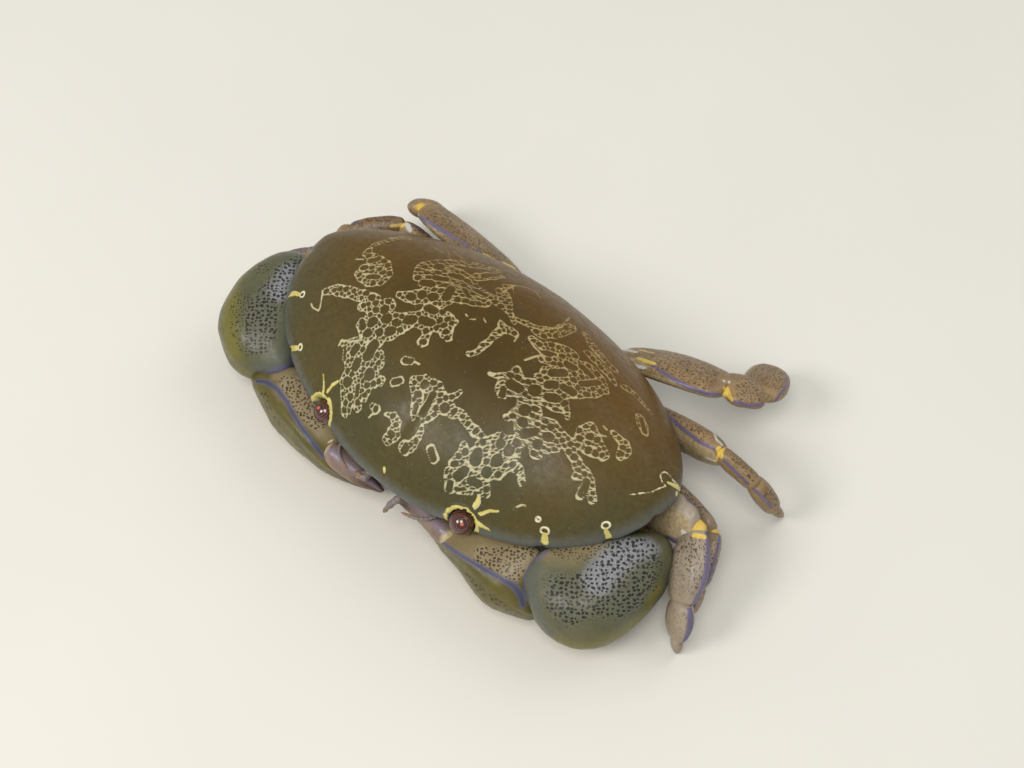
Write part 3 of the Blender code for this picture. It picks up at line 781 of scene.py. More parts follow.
# a cell is bounded by its neighbours, by its own swell and by the patch's edge
bound = np.minimum(rag, first - 0.02)
inner = np.minimum(np.minimum(PAD - first, (second - first) / 2 - W_LINE / 2), -bound - W_LINE / 2)
outer = W_LINE / 2 + 0.01 - bound
lace = np.full(len(cara), -1.0)
lace[zone] = np.minimum(outer, -inner)
for pts_px, half in STROKES:
    pts = on_dome(pts_px)
    near = np.where(is_top & np.all((surf > pts.min(0) - 1) & (surf < pts.max(0) + 1), axis=1))[0]
    if len(near):
        lace[near] = np.maximum(lace[near], -chain_dist(surf[near], pts, [half * PX] * len(pts)))
lace = np.clip(lace, -0.5, 0.5)
print("lace cells", len(CELLS) + n_small)

# yellow marks: the rays and ring of each orbit, and the lobes of the margin
YELLOW = [
    [(545, 535.5, 2.3), (544.5, 543, 3.3)], [(606, 530.5, 2.0), (609.5, 539, 2.9)],
    [(288, 294.5, 3.3), (298, 293.5, 2.3)], [(288, 349.5, 3.3), (297, 348, 2.7)],
    [(478, 498, 1.8), (475, 506, 2.6)], [(480, 514, 2.0), (490, 511, 1.6), (498, 511, 1.0)],
    [(474, 521, 2.2), (480, 525, 2.4), (489, 530, 1.4)],
    [(327, 392, 1.4), (333, 384, 1.6), (338, 381, 1.2)], [(323, 374, 0.8), (324, 384, 1.2), (323, 393, 1.4)],
    [(384, 468, 1.9), (384, 472, 1.5)], [(329, 400, 2.4), (330, 410, 2.8), (328, 417, 2.2)],
    [(668, 482, 1.2), (674, 485, 2.0), (680, 489, 2.0)],
]
RINGS = [(545, 531, 4.0, 1.0), (606, 525.5, 4.0, 1.0), (302, 293.5, 3.4, 0.9), (300, 347, 3.0, 0.9), (538, 519, 2.4, 0.9)]
yellow = np.full(len(cara), -1.0)
for mark in YELLOW:
    pts = on_dome([q[:2] for q in mark])
    d = chain_dist(surf, pts, [q[2] * PX for q in mark])
    yellow = np.maximum(yellow, -d)
pale = np.full(len(cara), -1.0)
for x, y, r, w in RINGS:
    c = on_dome([(x, y)])[0]
    pale = np.maximum(pale, w * PX - np.abs(np.linalg.norm(surf - c, axis=1) - r * PX))
for side, sx in (("L", 1), ("R", -1)):
    d = eye_d[side]
    behind = surf[:, 1] - EYE_AT[1]
    ring = 0.21 + 0.13 * wobble(p0, 0.8, 31) - np.abs(d - 1.83)
    yellow = np.maximum(yellow, np.where(behind > -1.6, ring, -1.0))
    tip = np.linalg.norm(surf - np.array([sx * 24.9, -1.2, 0.2]), axis=1)
    yellow = np.maximum(yellow, 0.26 + 0.2 * wobble(p0, 0.9, 33) - tip)
hair = on_dome([(628, 495), (640, 493), (652, 492), (664, 487)])
pale = np.maximum(pale, 0.05 + 0.05 * wobble(p0, 0.5, 35) - chain_dist(surf, hair, [0] * 4))
corner = on_dome([(666, 487), (662, 481), (660, 476), (662, 472.5), (666, 472), (670, 475), (673, 480), (679, 486), (682, 489)])
pale = np.maximum(pale, 0.06 + 0.05 * wobble(p0, 0.6, 36) - chain_dist(surf, corner, [0] * 9))
yellow = np.clip(np.where(is_top | (edge_mm < 0.01), yellow, -1), -0.5, 0.5)
pale = np.clip(np.where(is_top, pale, -1), -0.5, 0.5)

# unwrap for the baked texture: the top from above with room for its sides
spread = (top_rho + 0.35 * np.arcsin(np.clip(top_rho, 0, 1)) / (math.pi / 2)) / 1.35
ux, uy = outline(turn.ravel())
uv_top = np.stack([0.5 + spread * ux / 51.6, 0.665 + spread * (uy - WAIST_Y) / 51.6 + 0.004], -1)
ux, uy = outline(np.tile(edge_turn, UNDER))
uv_under = np.stack([0.25 + under_rho * ux / 110, 0.165 + under_rho * (uy - WAIST_Y) / 110], -1)
uv = np.concatenate([uv_top, uv_under, [[0.25, 0.165]]])

k = Look("shell", 0.34, Coat_Weight=0.03, Coat_Roughness=0.2, IOR=1.45, Specular_IOR_Level=0.24)
big = k.noise(0.11, 3, 0.55)
fine = k.noise(1.6, 4, 0.6)
speck = k.noise(7.0, 2, 0.5)
warm = k.attr("warm")
col = k.mix(warm, srgb(70, 67, 41), srgb(102, 71, 16))
col = k.mix(k.mul(k.ramp(k.attr("middle"), 0, 1), 0.85), col, srgb(61, 46, 14))
col = k.mix(k.mul(k.ramp(big, 0.35, 0.7), 0.4), col, srgb(88, 70, 24))
col = k.mix(k.mul(k.ramp(fine, 0.35, 0.7), 0.30), col, srgb(48, 39, 16))
rim = k.ramp(k.add(k.attr("edge"), k.mul(fine, 0.5)), 0.1, 2.3, 1, 0)
front = k.sub(1.0, k.mul(k.attr("warm"), 0.45))
col = k.mix(k.mul(k.mul(rim, 0.9), front), col, srgb(92, 96, 92))
line = k.ramp(k.attr("edge"), 0.02, 0.14, 1, 0)
col = k.mix(k.mul(line, 0.5), col, srgb(140, 140, 150))
dots = k.spots(2.6, 0.16, 0.03, uneven=0.9)
col = k.mix(k.mul(k.mul(dots, k.ramp(k.voronoi(0.7, out="Distance"), 0.45, 0.75)), 0.35), col, srgb(170, 160, 130))
lacecol = k.mix(k.attr("back"), srgb(174, 168, 136), srgb(150, 126, 78))
lacecol = k.mix(k.mul(k.ramp(speck, 0.35, 0.75), 0.4), lacecol, srgb(186, 172, 120))
edgef = k.add(k.attr("lace"), k.mul(k.sub(speck, 0.5), 0.05))
col = k.mix(k.ramp(edgef, -0.042, 0.04), col, lacecol)
col = k.mix(k.ramp(k.attr("pale"), -0.05, 0.04), col, srgb(212, 206, 170))
col = k.mix(k.ramp(k.add(k.attr("yellow"), k.mul(k.sub(speck, 0.5), 0.16)), -0.06, 0.06), col, k.mix(k.ramp(fine, 0.3, 0.7), srgb(202, 192, 122), srgb(182, 168, 92)))
below = k.ramp(k.attr("below"), 0.2, 0.9)
col = k.mix(below, col, k.mix(k.ramp(fine, 0.3, 0.7), srgb(150, 132, 104), srgb(176, 160, 132)))
pits = k.voronoi(3.2, out="Distance")
height = k.add(k.mul(k.ramp(pits, 0.0, 0.25), 0.5), k.mul(fine, 0.8))
shell_look = k.finish(col, height, 0.03, k.ramp(k.add(fine, k.mul(speck, 0.4)), 0.4, 1.0, 0.30, 0.44))

warm_v = smooth(p0[:, 1] + 0.15 * np.abs(p0[:, 0]) - 7 * smooth(np.abs(p0[:, 0]), 15, 25), -14, 8)
middle_v = np.exp(-((p0[:, 0] / 15) ** 2 + ((p0[:, 1] + 4) / 8) ** 2))
back_v = smooth(p0[:, 1], -10, 3)
below_v = np.where(is_top, 0.0, 1.0)
below_v[n_top:n_top + m] = 0.15
make("carapace_shell", cara, faces, shell_look, ["carapace"],
     {"lace": lace, "edge": edge_mm, "warm": warm_v, "middle": middle_v, "back": back_v,
      "yellow": yellow, "pale": pale, "below": below_v}, uv)


# ------------------------------------------------------------------- claws
CLAWS = {
    "L": {
        "merus": ([(11.3, -6.0, -8.2), (17, -4.6, -8.1), (22.4, -2.9, -8.3)],
                  [(1.5, 1.5), (1.7, 1.8), (1.4, 1.5)], (0, 0, 1)),
        "carpus": ([(26.3, -3.7, -5.6), (25.5, -8.5, -5.5), (23.1, -13.6, -5.5), (19.6, -17.8, -5.4)],
                   [(2.6, 3.4), (4.2, 4.7), (6.1, 4.9), (4.4, 4.3)], (0, 0, 1)),
        "palm": ([(20.9, -17.9, -7.4), (16.6, -17.0, -7.0), (11.6, -17.1, -6.9), (9.0, -17.2, -7.8),
                  (6.6, -17.0, -8.9), (2.2, -17.2, -8.8)],
                 [(2.1, 2.9), (3.6, 3.9), (2.7, 3.4), (1.9, 2.35), (1.15, 1.2), (0.5, 0.5)],
                 (0, -0.12, 0.99)),
        "dactyl": ([(9.3, -18.4, -5.1), (6.6, -17.7, -5.7), (4.0, -17.5, -6.0), (1.1, -17.9, -6.9)],
                   [(1.5, 1.7), (1.35, 1.4), (1.1, 1.2), (0.4, 0.4)], (0, -0.28, 0.96)),
    },
    "R": {
        "merus": ([(-11.3, -6.0, -8.2), (-17, -4.8, -8.1), (-22.6, -3.7, -8.4)],
                  [(1.5, 1.5), (1.7, 1.8), (1.4, 1.5)], (0, 0, 1)),
        "carpus": ([(-27.8, -2.7, -5.7), (-26.7, -6.6, -5.6), (-24.5, -11.8, -5.5), (-20.0, -16.4, -5.4)],
                   [(2.6, 3.4), (4.2, 4.7), (5.6, 4.9), (4.4, 4.3)], (0, 0, 1)),
        "palm": ([(-21.4, -16.9, -7.4), (-15.6, -16.6, -7.0), (-10.4, -17.7, -7.0), (-7.8, -18.2, -8.0),
                  (-5.4, -18.0, -9.2), (-1.6, -17.4, -9.0)],
                 [(2.1, 2.9), (3.6, 3.9), (2.9, 3.65), (2.1, 2.6), (1.25, 1.3), (0.5, 0.5)],
                 (0, -0.12, 0.99)),
        "dactyl": ([(-8.0, -19.1, -5.1), (-5.6, -18.9, -5.6), (-3.4, -18.7, -6.0), (-0.7, -18.3, -6.9)],
                   [(1.5, 1.7), (1.35, 1.4), (1.1, 1.2), (0.4, 0.4)], (0, -0.28, 0.96)),
    },
}
# Swells of the claw's segments: pixel of the frame, direction, height and reach in mm.
SWELLS = {
    ("L", "carpus"): [((533, 578), (-0.7, -0.7, 0.1), 0.8, 2.2), ((536, 600), (-0.7, -0.7, 0.1), 0.3, 1.6), ((548, 562), (-0.75, 0.1, 0.5), 0.9, 1.8)],
    ("L", "palm"): [((500, 560), (0.1, 0.75, 0.5), 0.4, 2.4), ((528, 560), (0.3, 0.75, 0.5), 1.3, 2.2)],
    ("R", "carpus"): [((284, 361), (0.65, -0.6, 0.1), 1.35, 2.3), ((266, 368), (0.65, -0.6, 0.1), 0.3, 1.6)],
    ("R", "palm"): [((296, 392), (-0.1, 0.75, 0.5), 0.5, 2.4)],
}
CLAW_MARKS = {
    ("L", "carpus"): {
        "crest": [[(549, 551, 1.4), (540, 556, 2.0), (531, 562, 2.8), (524, 568, 3.6), (522, 577, 3.4), (523, 588, 2.8), (525, 600, 2.2)]],
        "smooth": [[(530, 570, 9), (529, 590, 10), (534, 610, 9), (544, 630, 7)]],
        "olive": [[(553, 641, 8), (575, 648, 10), (600, 646, 11), (625, 632, 10), (646, 613, 8), (658, 590, 5)]],
        "tan": [[(552, 552, 10), (575, 552, 12), (598, 545, 10)]],
        "dense": [[(556, 586, 11), (556, 603, 11), (568, 613, 12), (582, 608, 13)],
                  [(575, 590, 14), (600, 585, 18), (612, 570, 18), (625, 553, 17), (644, 550, 15)],
                  [(605, 603, 13), (625, 603, 15), (640, 595, 12), (643, 575, 13)]],
        "fine": [[(560, 551, 9), (585, 553, 9), (605, 545, 9)], [(655, 555, 9), (655, 585, 8)], [(543, 617, 2.6), (549, 632, 3.4), (558, 645, 3.0)]],
        "net": [[(598, 580, 15), (612, 562, 16), (630, 548, 15), (650, 545, 10)]],
    },
    ("R", "carpus"): {
        "crest": [[(256, 376, 2.2), (264, 374, 2.0), (278, 370, 2.4), (288, 366, 3.6), (292, 362, 3.0)]],
        "smooth": [[(291, 320, 5), (290, 340, 7), (286, 356, 9), (276, 366, 9), (262, 369, 8)]],
        "olive": [[(232, 350, 12), (228, 320, 10), (232, 290, 8), (246, 262, 6)], [(242, 372, 8)]],
        "tan": [],
        "dense": [[(300, 256, 7), (288, 270, 11), (275, 288, 15), (264, 308, 17), (260, 330, 17), (259, 344, 12)]],
        "fine": [[(240, 300, 14), (238, 325, 12), (246, 350, 8)], [(262, 268, 10)]],
        "net": [[(290, 270, 9), (278, 292, 11)]],
    },
    ("L", "palm"): {
        "crest": [[(441, 541, 1.3), (447, 546, 1.8), (460, 555, 2.2), (480, 567, 2.4), (500, 578, 2.4), (514, 586, 3.2), (521, 595, 3.6), (523, 605, 3.0)]],
        "tan": [[(455, 533, 14), (475, 545, 16), (500, 553, 18), (522, 555, 16), (540, 550, 12)], [(510, 570, 10)]],
        # pale mauve patch by the finger joint: the finger's mauve tone with a painted highlight
        "mauve_and_highlight": [[(441, 522, 9), (455, 528, 9)]],
        "fine": [[(486, 556, 12), (505, 560, 14), (515, 572, 9)], [(520, 552, 9), (536, 550, 8)]],
        "sparse": [[(470, 578, 7), (480, 590, 8), (496, 602, 9), (514, 616, 8), (530, 630, 7)]],
        "dark": [[(496, 556, 12), (512, 566, 9)]],
    },
    ("R", "palm"): {
        "crest": [[(257, 381, 3.0), (266, 382, 3.2), (277, 389, 2.8), (287, 402, 2.4), (296, 419, 2.2), (309, 438, 2.3), (322, 455, 2.2), (336, 466, 1.6)]],
        "tan": [[(285, 386, 12), (300, 398, 14), (316, 418, 13), (330, 436, 9)], [(300, 380, 10), (312, 395, 10)], [(276, 376, 6), (290, 372, 9)]],
        # pale mauve patch by the finger joint: the finger's mauve tone with a painted highlight
        "mauve_and_highlight": [[(338, 450, 8)]],
        "fine": [[(284, 380, 6), (292, 386, 10), (304, 402, 13), (316, 420, 11)]],
        "sparse": [[(264, 398, 8), (272, 414, 7), (282, 430, 5)]],
        "dark": [[(298, 388, 10), (308, 404, 9)]],
        "white": [[(341, 439, 1.0), (332, 441, 1.2), (323, 443, 1.0)]],
    },
}


def claw_look(name, part):
    k = Look(name, 0.36, Coat_Weight=0.04, Coat_Roughness=0.2, IOR=1.48, Specular_IOR_Level=0.28)
    big = k.noise(0.3, 3, 0.55)
    fine = k.noise(2.2, 4, 0.6)
    speck = k.noise(8.0, 2, 0.5)
    flat = k.plane(k.warped(1.1, 0.5), ALONG, ACROSS)
    rough_edge = k.mul(k.sub(k.noise(6.0, 2, 0.5), 0.5), 0.16)
    if part == "carpus":
        col = k.mix(k.ramp(big, 0.35, 0.65), srgb(80, 81, 58), srgb(90, 88, 64))
        col = k.mix(k.ramp(k.add(k.attr("olive"), k.mul(k.sub(big, 0.5), 1.2)), -1.4, 0.9), col, srgb(104, 98, 42))
        col = k.mix(k.mul(k.ramp(k.attr("tan"), -1.0, 0.8), 0.85), col, srgb(124, 110, 80))
        smoothz = k.ramp(k.attr("smooth"), -1.0, 0.9)
        col = k.mix(k.mul(smoothz, 0.75), col, srgb(86, 90, 84))
        net = k.ramp(k.add(k.attr("net"), k.mul(k.sub(fine, 0.5), 0.8)), -0.8, 0.9)
        dense = k.ramp(k.add(k.attr("dense"), k.mul(k.sub(fine, 0.5), 0.7)), -0.25, 0.25)
        col = k.mix(k.mul(k.ramp(k.attr("dense"), -0.9, 0.9), 0.55), col, srgb(98, 99, 88))
        col = k.mix(k.mul(net, 0.8), col, srgb(136, 137, 143))
        keep = k.math("MULTIPLY", k.ramp(k.attr("smooth"), -0.6, 0.3, 1, 0), 1.0, clamp=True)
        large = k.mul(k.dots(k.stretched(1.0, 1.22, 1, flat), 1.95, 0.385, 0.07, 0.35, 0.62), dense)
        finer = k.ramp(k.add(k.attr("fine"), k.mul(k.sub(fine, 0.5), 0.7)), -0.3, 0.3)
        small = k.mul(k.dots(k.stretched(1.0, 1.2, 1, flat), 2.7, 0.32, 0.08, 0.5, 0.8), k.math("MAXIMUM", finer, k.mul(k.ramp(k.attr("dense"), -1.1, -0.3), 0.6)))
        spots = k.mul(k.math("MAXIMUM", k.mul(small, 0.85), large), keep)
        dark = srgb(24, 22, 19)
    else:
        col = k.mix(k.ramp(big, 0.35, 0.65), srgb(82, 76, 34), srgb(96, 88, 42))
        col = k.mix(k.mul(k.ramp(k.add(k.attr("tan"), k.mul(k.sub(fine, 0.5), 0.6)), -0.6, 0.5), 0.95), col, srgb(128, 114, 84))
        # pale mauve by the finger joint: the finger's own mauve tone, lightened further as a painted highlight
        col = k.mix(k.mul(k.ramp(k.attr("mauve_and_highlight"), -0.8, 0.6), 0.9), col, srgb(128, 110, 98))
        col = k.mix(k.ramp(k.attr("t"), 0.62, 0.86), col, srgb(76, 52, 30))
        keep = k.ramp(k.attr("t"), 0.5, 0.8, 1, 0)
        finer = k.ramp(k.add(k.attr("fine"), k.mul(k.sub(fine, 0.5), 0.8)), -0.4, 0.3)
        sparse = k.ramp(k.add(k.attr("sparse"), k.mul(k.sub(fine, 0.5), 1.2)), -0.2, 0.3)
        col = k.mix(k.mul(finer, 0.5), col, srgb(146, 134, 106))
        spots = k.mul(k.math("MAXIMUM", k.mul(k.dots(k.stretched(1, 1.25, 1, flat), 2.4, 0.38, 0.08, 0.5, 0.8), finer),
                             k.mul(k.mul(k.dots(flat, 1.95, 0.33, 0.07, 0.5, 0.85), sparse), 1.0)), keep)
        dark = srgb(52, 40, 26)
        col = k.mix(k.mul(k.ramp(k.attr("dark"), -0.9, 0.8), 0.35), col, srgb(112, 92, 62))
    spots = k.ramp(k.add(spots, rough_edge), 0.3, 0.7)
    col = k.mix(k.mul(spots, 0.92), col, dark)
    col = k.mix(k.mul(k.ramp(fine, 0.4, 0.8), 0.2), col, srgb(66, 58, 40))
    crest = k.ramp(k.add(k.attr("crest"), k.mul(k.sub(speck, 0.5), 0.12)), -0.22, 0.14)
    blue = k.mix(k.ramp(big, 0.3, 0.7), srgb(82, 82, 108), srgb(98, 94, 124))
    if part == "palm":
        blue = k.mix(k.ramp(k.attr("crest"), 0.02, 0.2), blue, srgb(66, 68, 94))
        col = k.mix(k.ramp(k.attr("white"), -0.06, 0.04), col, srgb(196, 184, 150))
    col = k.mix(k.mul(crest, 0.85), col, blue)
    below = k.ramp(k.attr("below"), 0.2, 0.9)
    col = k.mix(k.mul(below, 0.8), col, k.mix(k.ramp(fine, 0.3, 0.7), srgb(160, 140, 102), srgb(140, 122, 88)))
    pits = k.voronoi(2.4, out="Distance")
    height = k.add(k.mul(k.ramp(pits, 0.0, 0.3), 0.5), k.mul(fine, 0.9))
    return k.finish(col, height, 0.04, k.ramp(fine, 0.3, 0.8, 0.32, 0.46))


def finger_look():
    k = Look("finger", 0.4, Coat_Weight=0.05, Coat_Roughness=0.2, IOR=1.48, Specular_IOR_Level=0.38)
    big = k.noise(0.5, 3, 0.55)
    fine = k.noise(2.6, 4, 0.6)
    col = k.mix(k.ramp(big, 0.35, 0.65), srgb(136, 114, 98), srgb(116, 96, 84))
    col = k.mix(k.ramp(k.attr("t"), 0.45, 0.8), col, srgb(78, 52, 32))
    col = k.mix(k.mul(k.ramp(k.attr("ridge"), 0.8, 1.0), 0.5), col, srgb(122, 116, 140))
    col = k.mix(k.ramp(k.attr("t"), 0.0, 0.07, 1, 0), col, srgb(206, 190, 150))
    col = k.mix(k.ramp(k.add(k.attr("patch"), k.mul(k.sub(fine, 0.5), 0.3)), -0.1, 0.1), col, srgb(196, 188, 160))
    col = k.mix(k.mul(k.ramp(fine, 0.4, 0.8), 0.3), col, srgb(70, 52, 40))
    return k.finish(col, k.add(fine, k.mul(k.voronoi(2.4, out="Distance"), 0.4)), 0.03, k.ramp(fine, 0.3, 0.8, 0.28, 0.4))


def limb_look():
    """Tan-brown limb with fine dark spots, blue-violet crest and yellow joint spots."""
    k = Look("limb", 0.38, Coat_Weight=0.05, Coat_Roughness=0.2, IOR=1.48, Specular_IOR_Level=0.38)
    big = k.noise(0.35, 3, 0.55)
    fine = k.noise(2.6, 4, 0.6)
    speck = k.noise(8.0, 2, 0.5)
    col = k.mix(k.ramp(big, 0.35, 0.65), srgb(142, 117, 82), srgb(122, 99, 67))
    col = k.mix(k.ramp(k.attr("pinkish"), 0.1, 0.9), col, k.mix(k.ramp(big, 0.35, 0.65), srgb(146, 134, 118), srgb(128, 116, 100)))
    col = k.mix(k.mul(k.ramp(k.attr("cream"), 0.1, 0.9), 0.9), col,
                k.mix(k.ramp(fine, 0.3, 0.7), srgb(164, 148, 114), srgb(144, 126, 92)))
    flat = k.pair(k.add(k.attr("u"), k.mul(k.noise(1.3, 2, 0.5), 0.9)), k.add(k.attr("v"), k.mul(k.noise(1.1, 2, 0.5), 0.9)))
    spots = k.dots(k.stretched(1.0, 1.35, 1, flat), 2.35, 0.37, 0.08, 0.5, 0.8)
    col = k.mix(k.mul(k.mul(spots, k.attr("spotty")), 0.86), col, srgb(66, 49, 34))
    crest = k.ramp(k.add(k.attr("crest"), k.mul(k.sub(speck, 0.5), 0.08)), -0.12, 0.06)
    col = k.mix(k.mul(crest, 0.85), col, k.mix(k.ramp(big, 0.3, 0.7), srgb(82, 76, 112), srgb(100, 94, 128)))
    col = k.mix(k.ramp(k.attr("pale"), -0.08, 0.08), col, srgb(186, 186, 178))
    col = k.mix(k.ramp(k.attr("yellow"), -0.08, 0.08), col, k.mix(k.ramp(fine, 0.3, 0.7), srgb(208, 184, 96), srgb(202, 168, 66)))
    col = k.mix(k.mul(k.ramp(fine, 0.4, 0.8), 0.25), col, srgb(84, 66, 48))
    # dark brown dactyl tips; the same mix also darkens the R4 carpus under the carapace margin as painted shade
    col = k.mix(k.ramp(k.attr("tip"), 0.5, 0.9), col, srgb(62, 40, 26))
    pits = k.voronoi(2.6, out="Distance")
    height = k.add(k.mul(k.ramp(pits, 0.0, 0.3), 0.5), k.mul(fine, 0.9))
    return k.finish(col, height, 0.035, k.ramp(fine, 0.3, 0.8, 0.34, 0.48))


limb_mat = limb_look()
finger_mat = finger_look()
mats = {"carpus": claw_look("claw_wrist", "carpus"), "palm": claw_look("claw_hand", "palm")}

for side, parts in CLAWS.items():
    for part, (path, sizes, up) in parts.items():
        name = "cheliped_%s_%s" % (side, part)
        res = {"merus": (36, 32), "carpus": (168, 120), "palm": (144, 150), "dactyl": (64, 72)}[part]
        form = {"blunt": 0.66 if part == "carpus" else 0.62,
                "square": {"carpus": 0.86, "palm": 0.76}.get(part, 1.0),
                "crest": {"palm": 0.5, "dactyl": 0.15}.get(part, 0.0),
                "crest_turn": 90 if part != "palm" else (125 if side == "L" else 55),
                "crest_power": 26 if part == "palm" else 12}
        limb = Limb(path, sizes, up, res[0], res[1], **form)
        n = limb.normals()
        bump = 0.05 * wobble(limb.verts, 3.0, 41 + len(name)) + 0.10 * wobble(limb.verts, 7.0, 51)
        limb.verts = limb.verts + n * bump[:, None]
        for px, towards, amount, reach in SWELLS.get((side, part), []):
            dd = np.linalg.norm(limb.verts - pick(limb.tree(), px), axis=1)
            limb.verts = limb.verts + unit(np.array(towards)) * (amount * np.exp(-(dd / reach) ** 2))[:, None]
        tree = limb.tree()
        p = limb.verts
        attrs = {"t": limb.t, "below": np.clip(-n[:, 2] * 1.2, 0, 1) * smooth(-p[:, 2], 7.5, 10.0)}
        if part in ("carpus", "palm"):
            w = np.stack([wobble(p, 2.2, 61), wobble(p, 2.2, 62), wobble(p, 2.2, 63)], -1) * 0.15
            for key in ("crest", "smooth", "olive", "tan", "dense", "mauve_and_highlight", "fine", "net", "sparse", "white", "dark"):
                marks = CLAW_MARKS[(side, part)].get(key, [])
                attrs[key] = np.clip(field(p + (0 if key in ("crest", "white") else w), tree, marks, -3.0), -3, 3)
            make(name + "_shell", p, limb.faces, mats[part], [name], attrs)
        elif part == "dactyl":
            attrs["ridge"] = limb.ridge(90)
            attrs["patch"] = field(p, tree, [[(359, 476, 3), (367, 473, 2.6)]] if side == "R" else [], -3.0)
            make(name + "_shell", p, limb.faces, finger_mat, [name], attrs)
        else:
            z = np.zeros(len(p))
            attrs.update({"crest": z - 1, "pale": z - 1, "yellow": z - 1, "cream": smooth(-n[:, 2], 0, 0.8),
                          "spotty": z + 0.6, "tip": z, "pinkish": z, "u": limb.t * limb.length, "v": limb.turn * 1.6})
            make(name + "_shell", p, limb.faces, limb_mat, [name], attrs)

# ------------------------------------------------------------ walking legs
LEGS = {
    "L2": ([(15.3, -0.6, -7.4), (28.4, -2.1, -2.2), (31.6, -8.0, -5.6), (32.9, -10.0, -8.8), (33.3, -10.2, -11.6)],
           [(1.3, 2.75), (1.3, 2.4), (1.2, 1.8), (0.75, 0.95)],
           [(-0.1, 0.45, 0.9), (0.5, 0.42, 0.72), (0.8, -0.3, 0.3), (0.8, -0.5, 0.2)]),
    "L3": ([(15.3, 2.9, -7.8), (29.3, -0.2, -4.7), (31.0, -4.5, -7.6), (31.6, -6.4, -9.8), (32.2, -7.3, -11.6)],
           [(1.3, 2.2), (1.2, 1.6), (1.1, 1.2), (0.7, 0.8)],
           [(-0.2, 0.3, 1), (0.5, 0.2, 0.8), (0.3, 0, 1), (0.2, 0, 1)]),
    "L4": ([(12.6, 8.0, -7.6), (25.0, 6.7, -2.1), (29.3, 7.1, -3.8), (31.5, 8.0, -7.5), (32.0, 10.0, -11.6)],
           [(1.6, 2.1), (1.4, 1.7), (1.1, 1.35), (0.7, 0.85)],
           [(-0.3, -0.1, 1), (0.3, -0.3, 0.9), (0.8, -0.4, 0.4), (0.9, -0.3, 0.2)]),
    "L5": ([(7.9, 11.4, -5.6), (20.3, 13.9, -2.5), (22.9, 16.4, -3.8), (21.1, 21.6, -7.0), (20.6, 23.4, -11.6)],
           [(1.15, 3.0), (1.2, 2.7), (1.15, 2.5), (0.7, 1.1)],
           [(0.1, -0.85, 0.5), (0.6, -0.7, 0.4), (0.8, -0.4, 0.4), (0.9, -0.3, 0.3)]),
    "R2": ([(-15.0, 0.4, -7.9), (-25.8, -0.5, -7.1), (-29.9, -0.2, -9.0), (-32.8, -2.6, -10.3), (-34.0, -5.2, -11.6)],
           [(1.2, 1.9), (1.2, 1.5), (1.1, 1.1), (0.7, 0.8)],
           [(0.1, 0, 1), (-0.4, 0, 1), (-0.3, 0, 1), (-0.2, 0, 1)]),
    "R3": ([(-14.6, 4.0, -8.2), (-24.4, 3.8, -8.0), (-26.2, 6.2, -9.1), (-26.5, 8.9, -9.9), (-25.8, 10.6, -11.6)],
           [(1.2, 1.8), (1.2, 1.35), (1.1, 1.1), (0.7, 0.8)],
           [(0.1, 0, 1), (-0.3, 0, 1), (-0.2, 0, 1), (-0.2, 0, 1)]),
    "R4": ([(-11.4, 8.1, -7.9), (-22.0, 7.3, -3.9), (-26.0, 3.0, -4.4), (-28.0, 2.9, -8.2), (-29.2, 3.4, -11.6)],
           [(1.3, 1.95), (1.3, 1.5), (1.1, 1.3), (0.7, 0.85)],
           [(0.3, -0.1, 1), (-0.3, 0.1, 1), (-0.8, 0, 0.5), (-0.8, 0, 0.3)]),
    "R5": ([(-7.4, 11.4, -5.9), (-21.2, 10.4, -2.8), (-22.6, 12.4, -6.2), (-22.6, 14.8, -9.4), (-22.2, 15.8, -11.6)],
           [(1.15, 3.0), (1.2, 2.1), (1.1, 1.7), (0.7, 0.9)],
           [(0, -0.78, 0.62), (-0.5, -0.7, 0.5), (-0.8, -0.4, 0.4), (-0.9, -0.3, 0.3)]),
}
PROFILE = {"merus": (0.76, 1.0, 0.94), "carpus": (0.84, 1.0, 0.90), "propodus": (0.92, 1.0, 0.80), "dactyl": (0.98, 0.78, 0.28)}
SLIM = {("L4", "carpus"): 0.74, ("L4", "propodus"): 1.08, ("L5", "carpus"): 0.96, ("L5", "merus"): 1.08}
FORMS = {("L2", "carpus"): (0.62, 1.0, 0.74), ("L2", "propodus"): (0.86, 1.0, 0.66), ("L4", "carpus"): (1.0, 1.0, 1.0),
         ("L4", "propodus"): (0.9, 1.0, 0.8), ("L5", "carpus"): (0.94, 1.0, 0.9)}
BOW = {("L5", "merus"): (0.0, 0.1, 0.35)}
BARE = {("R5", "carpus"), ("R5", "propodus"), ("R4", "propodus")}
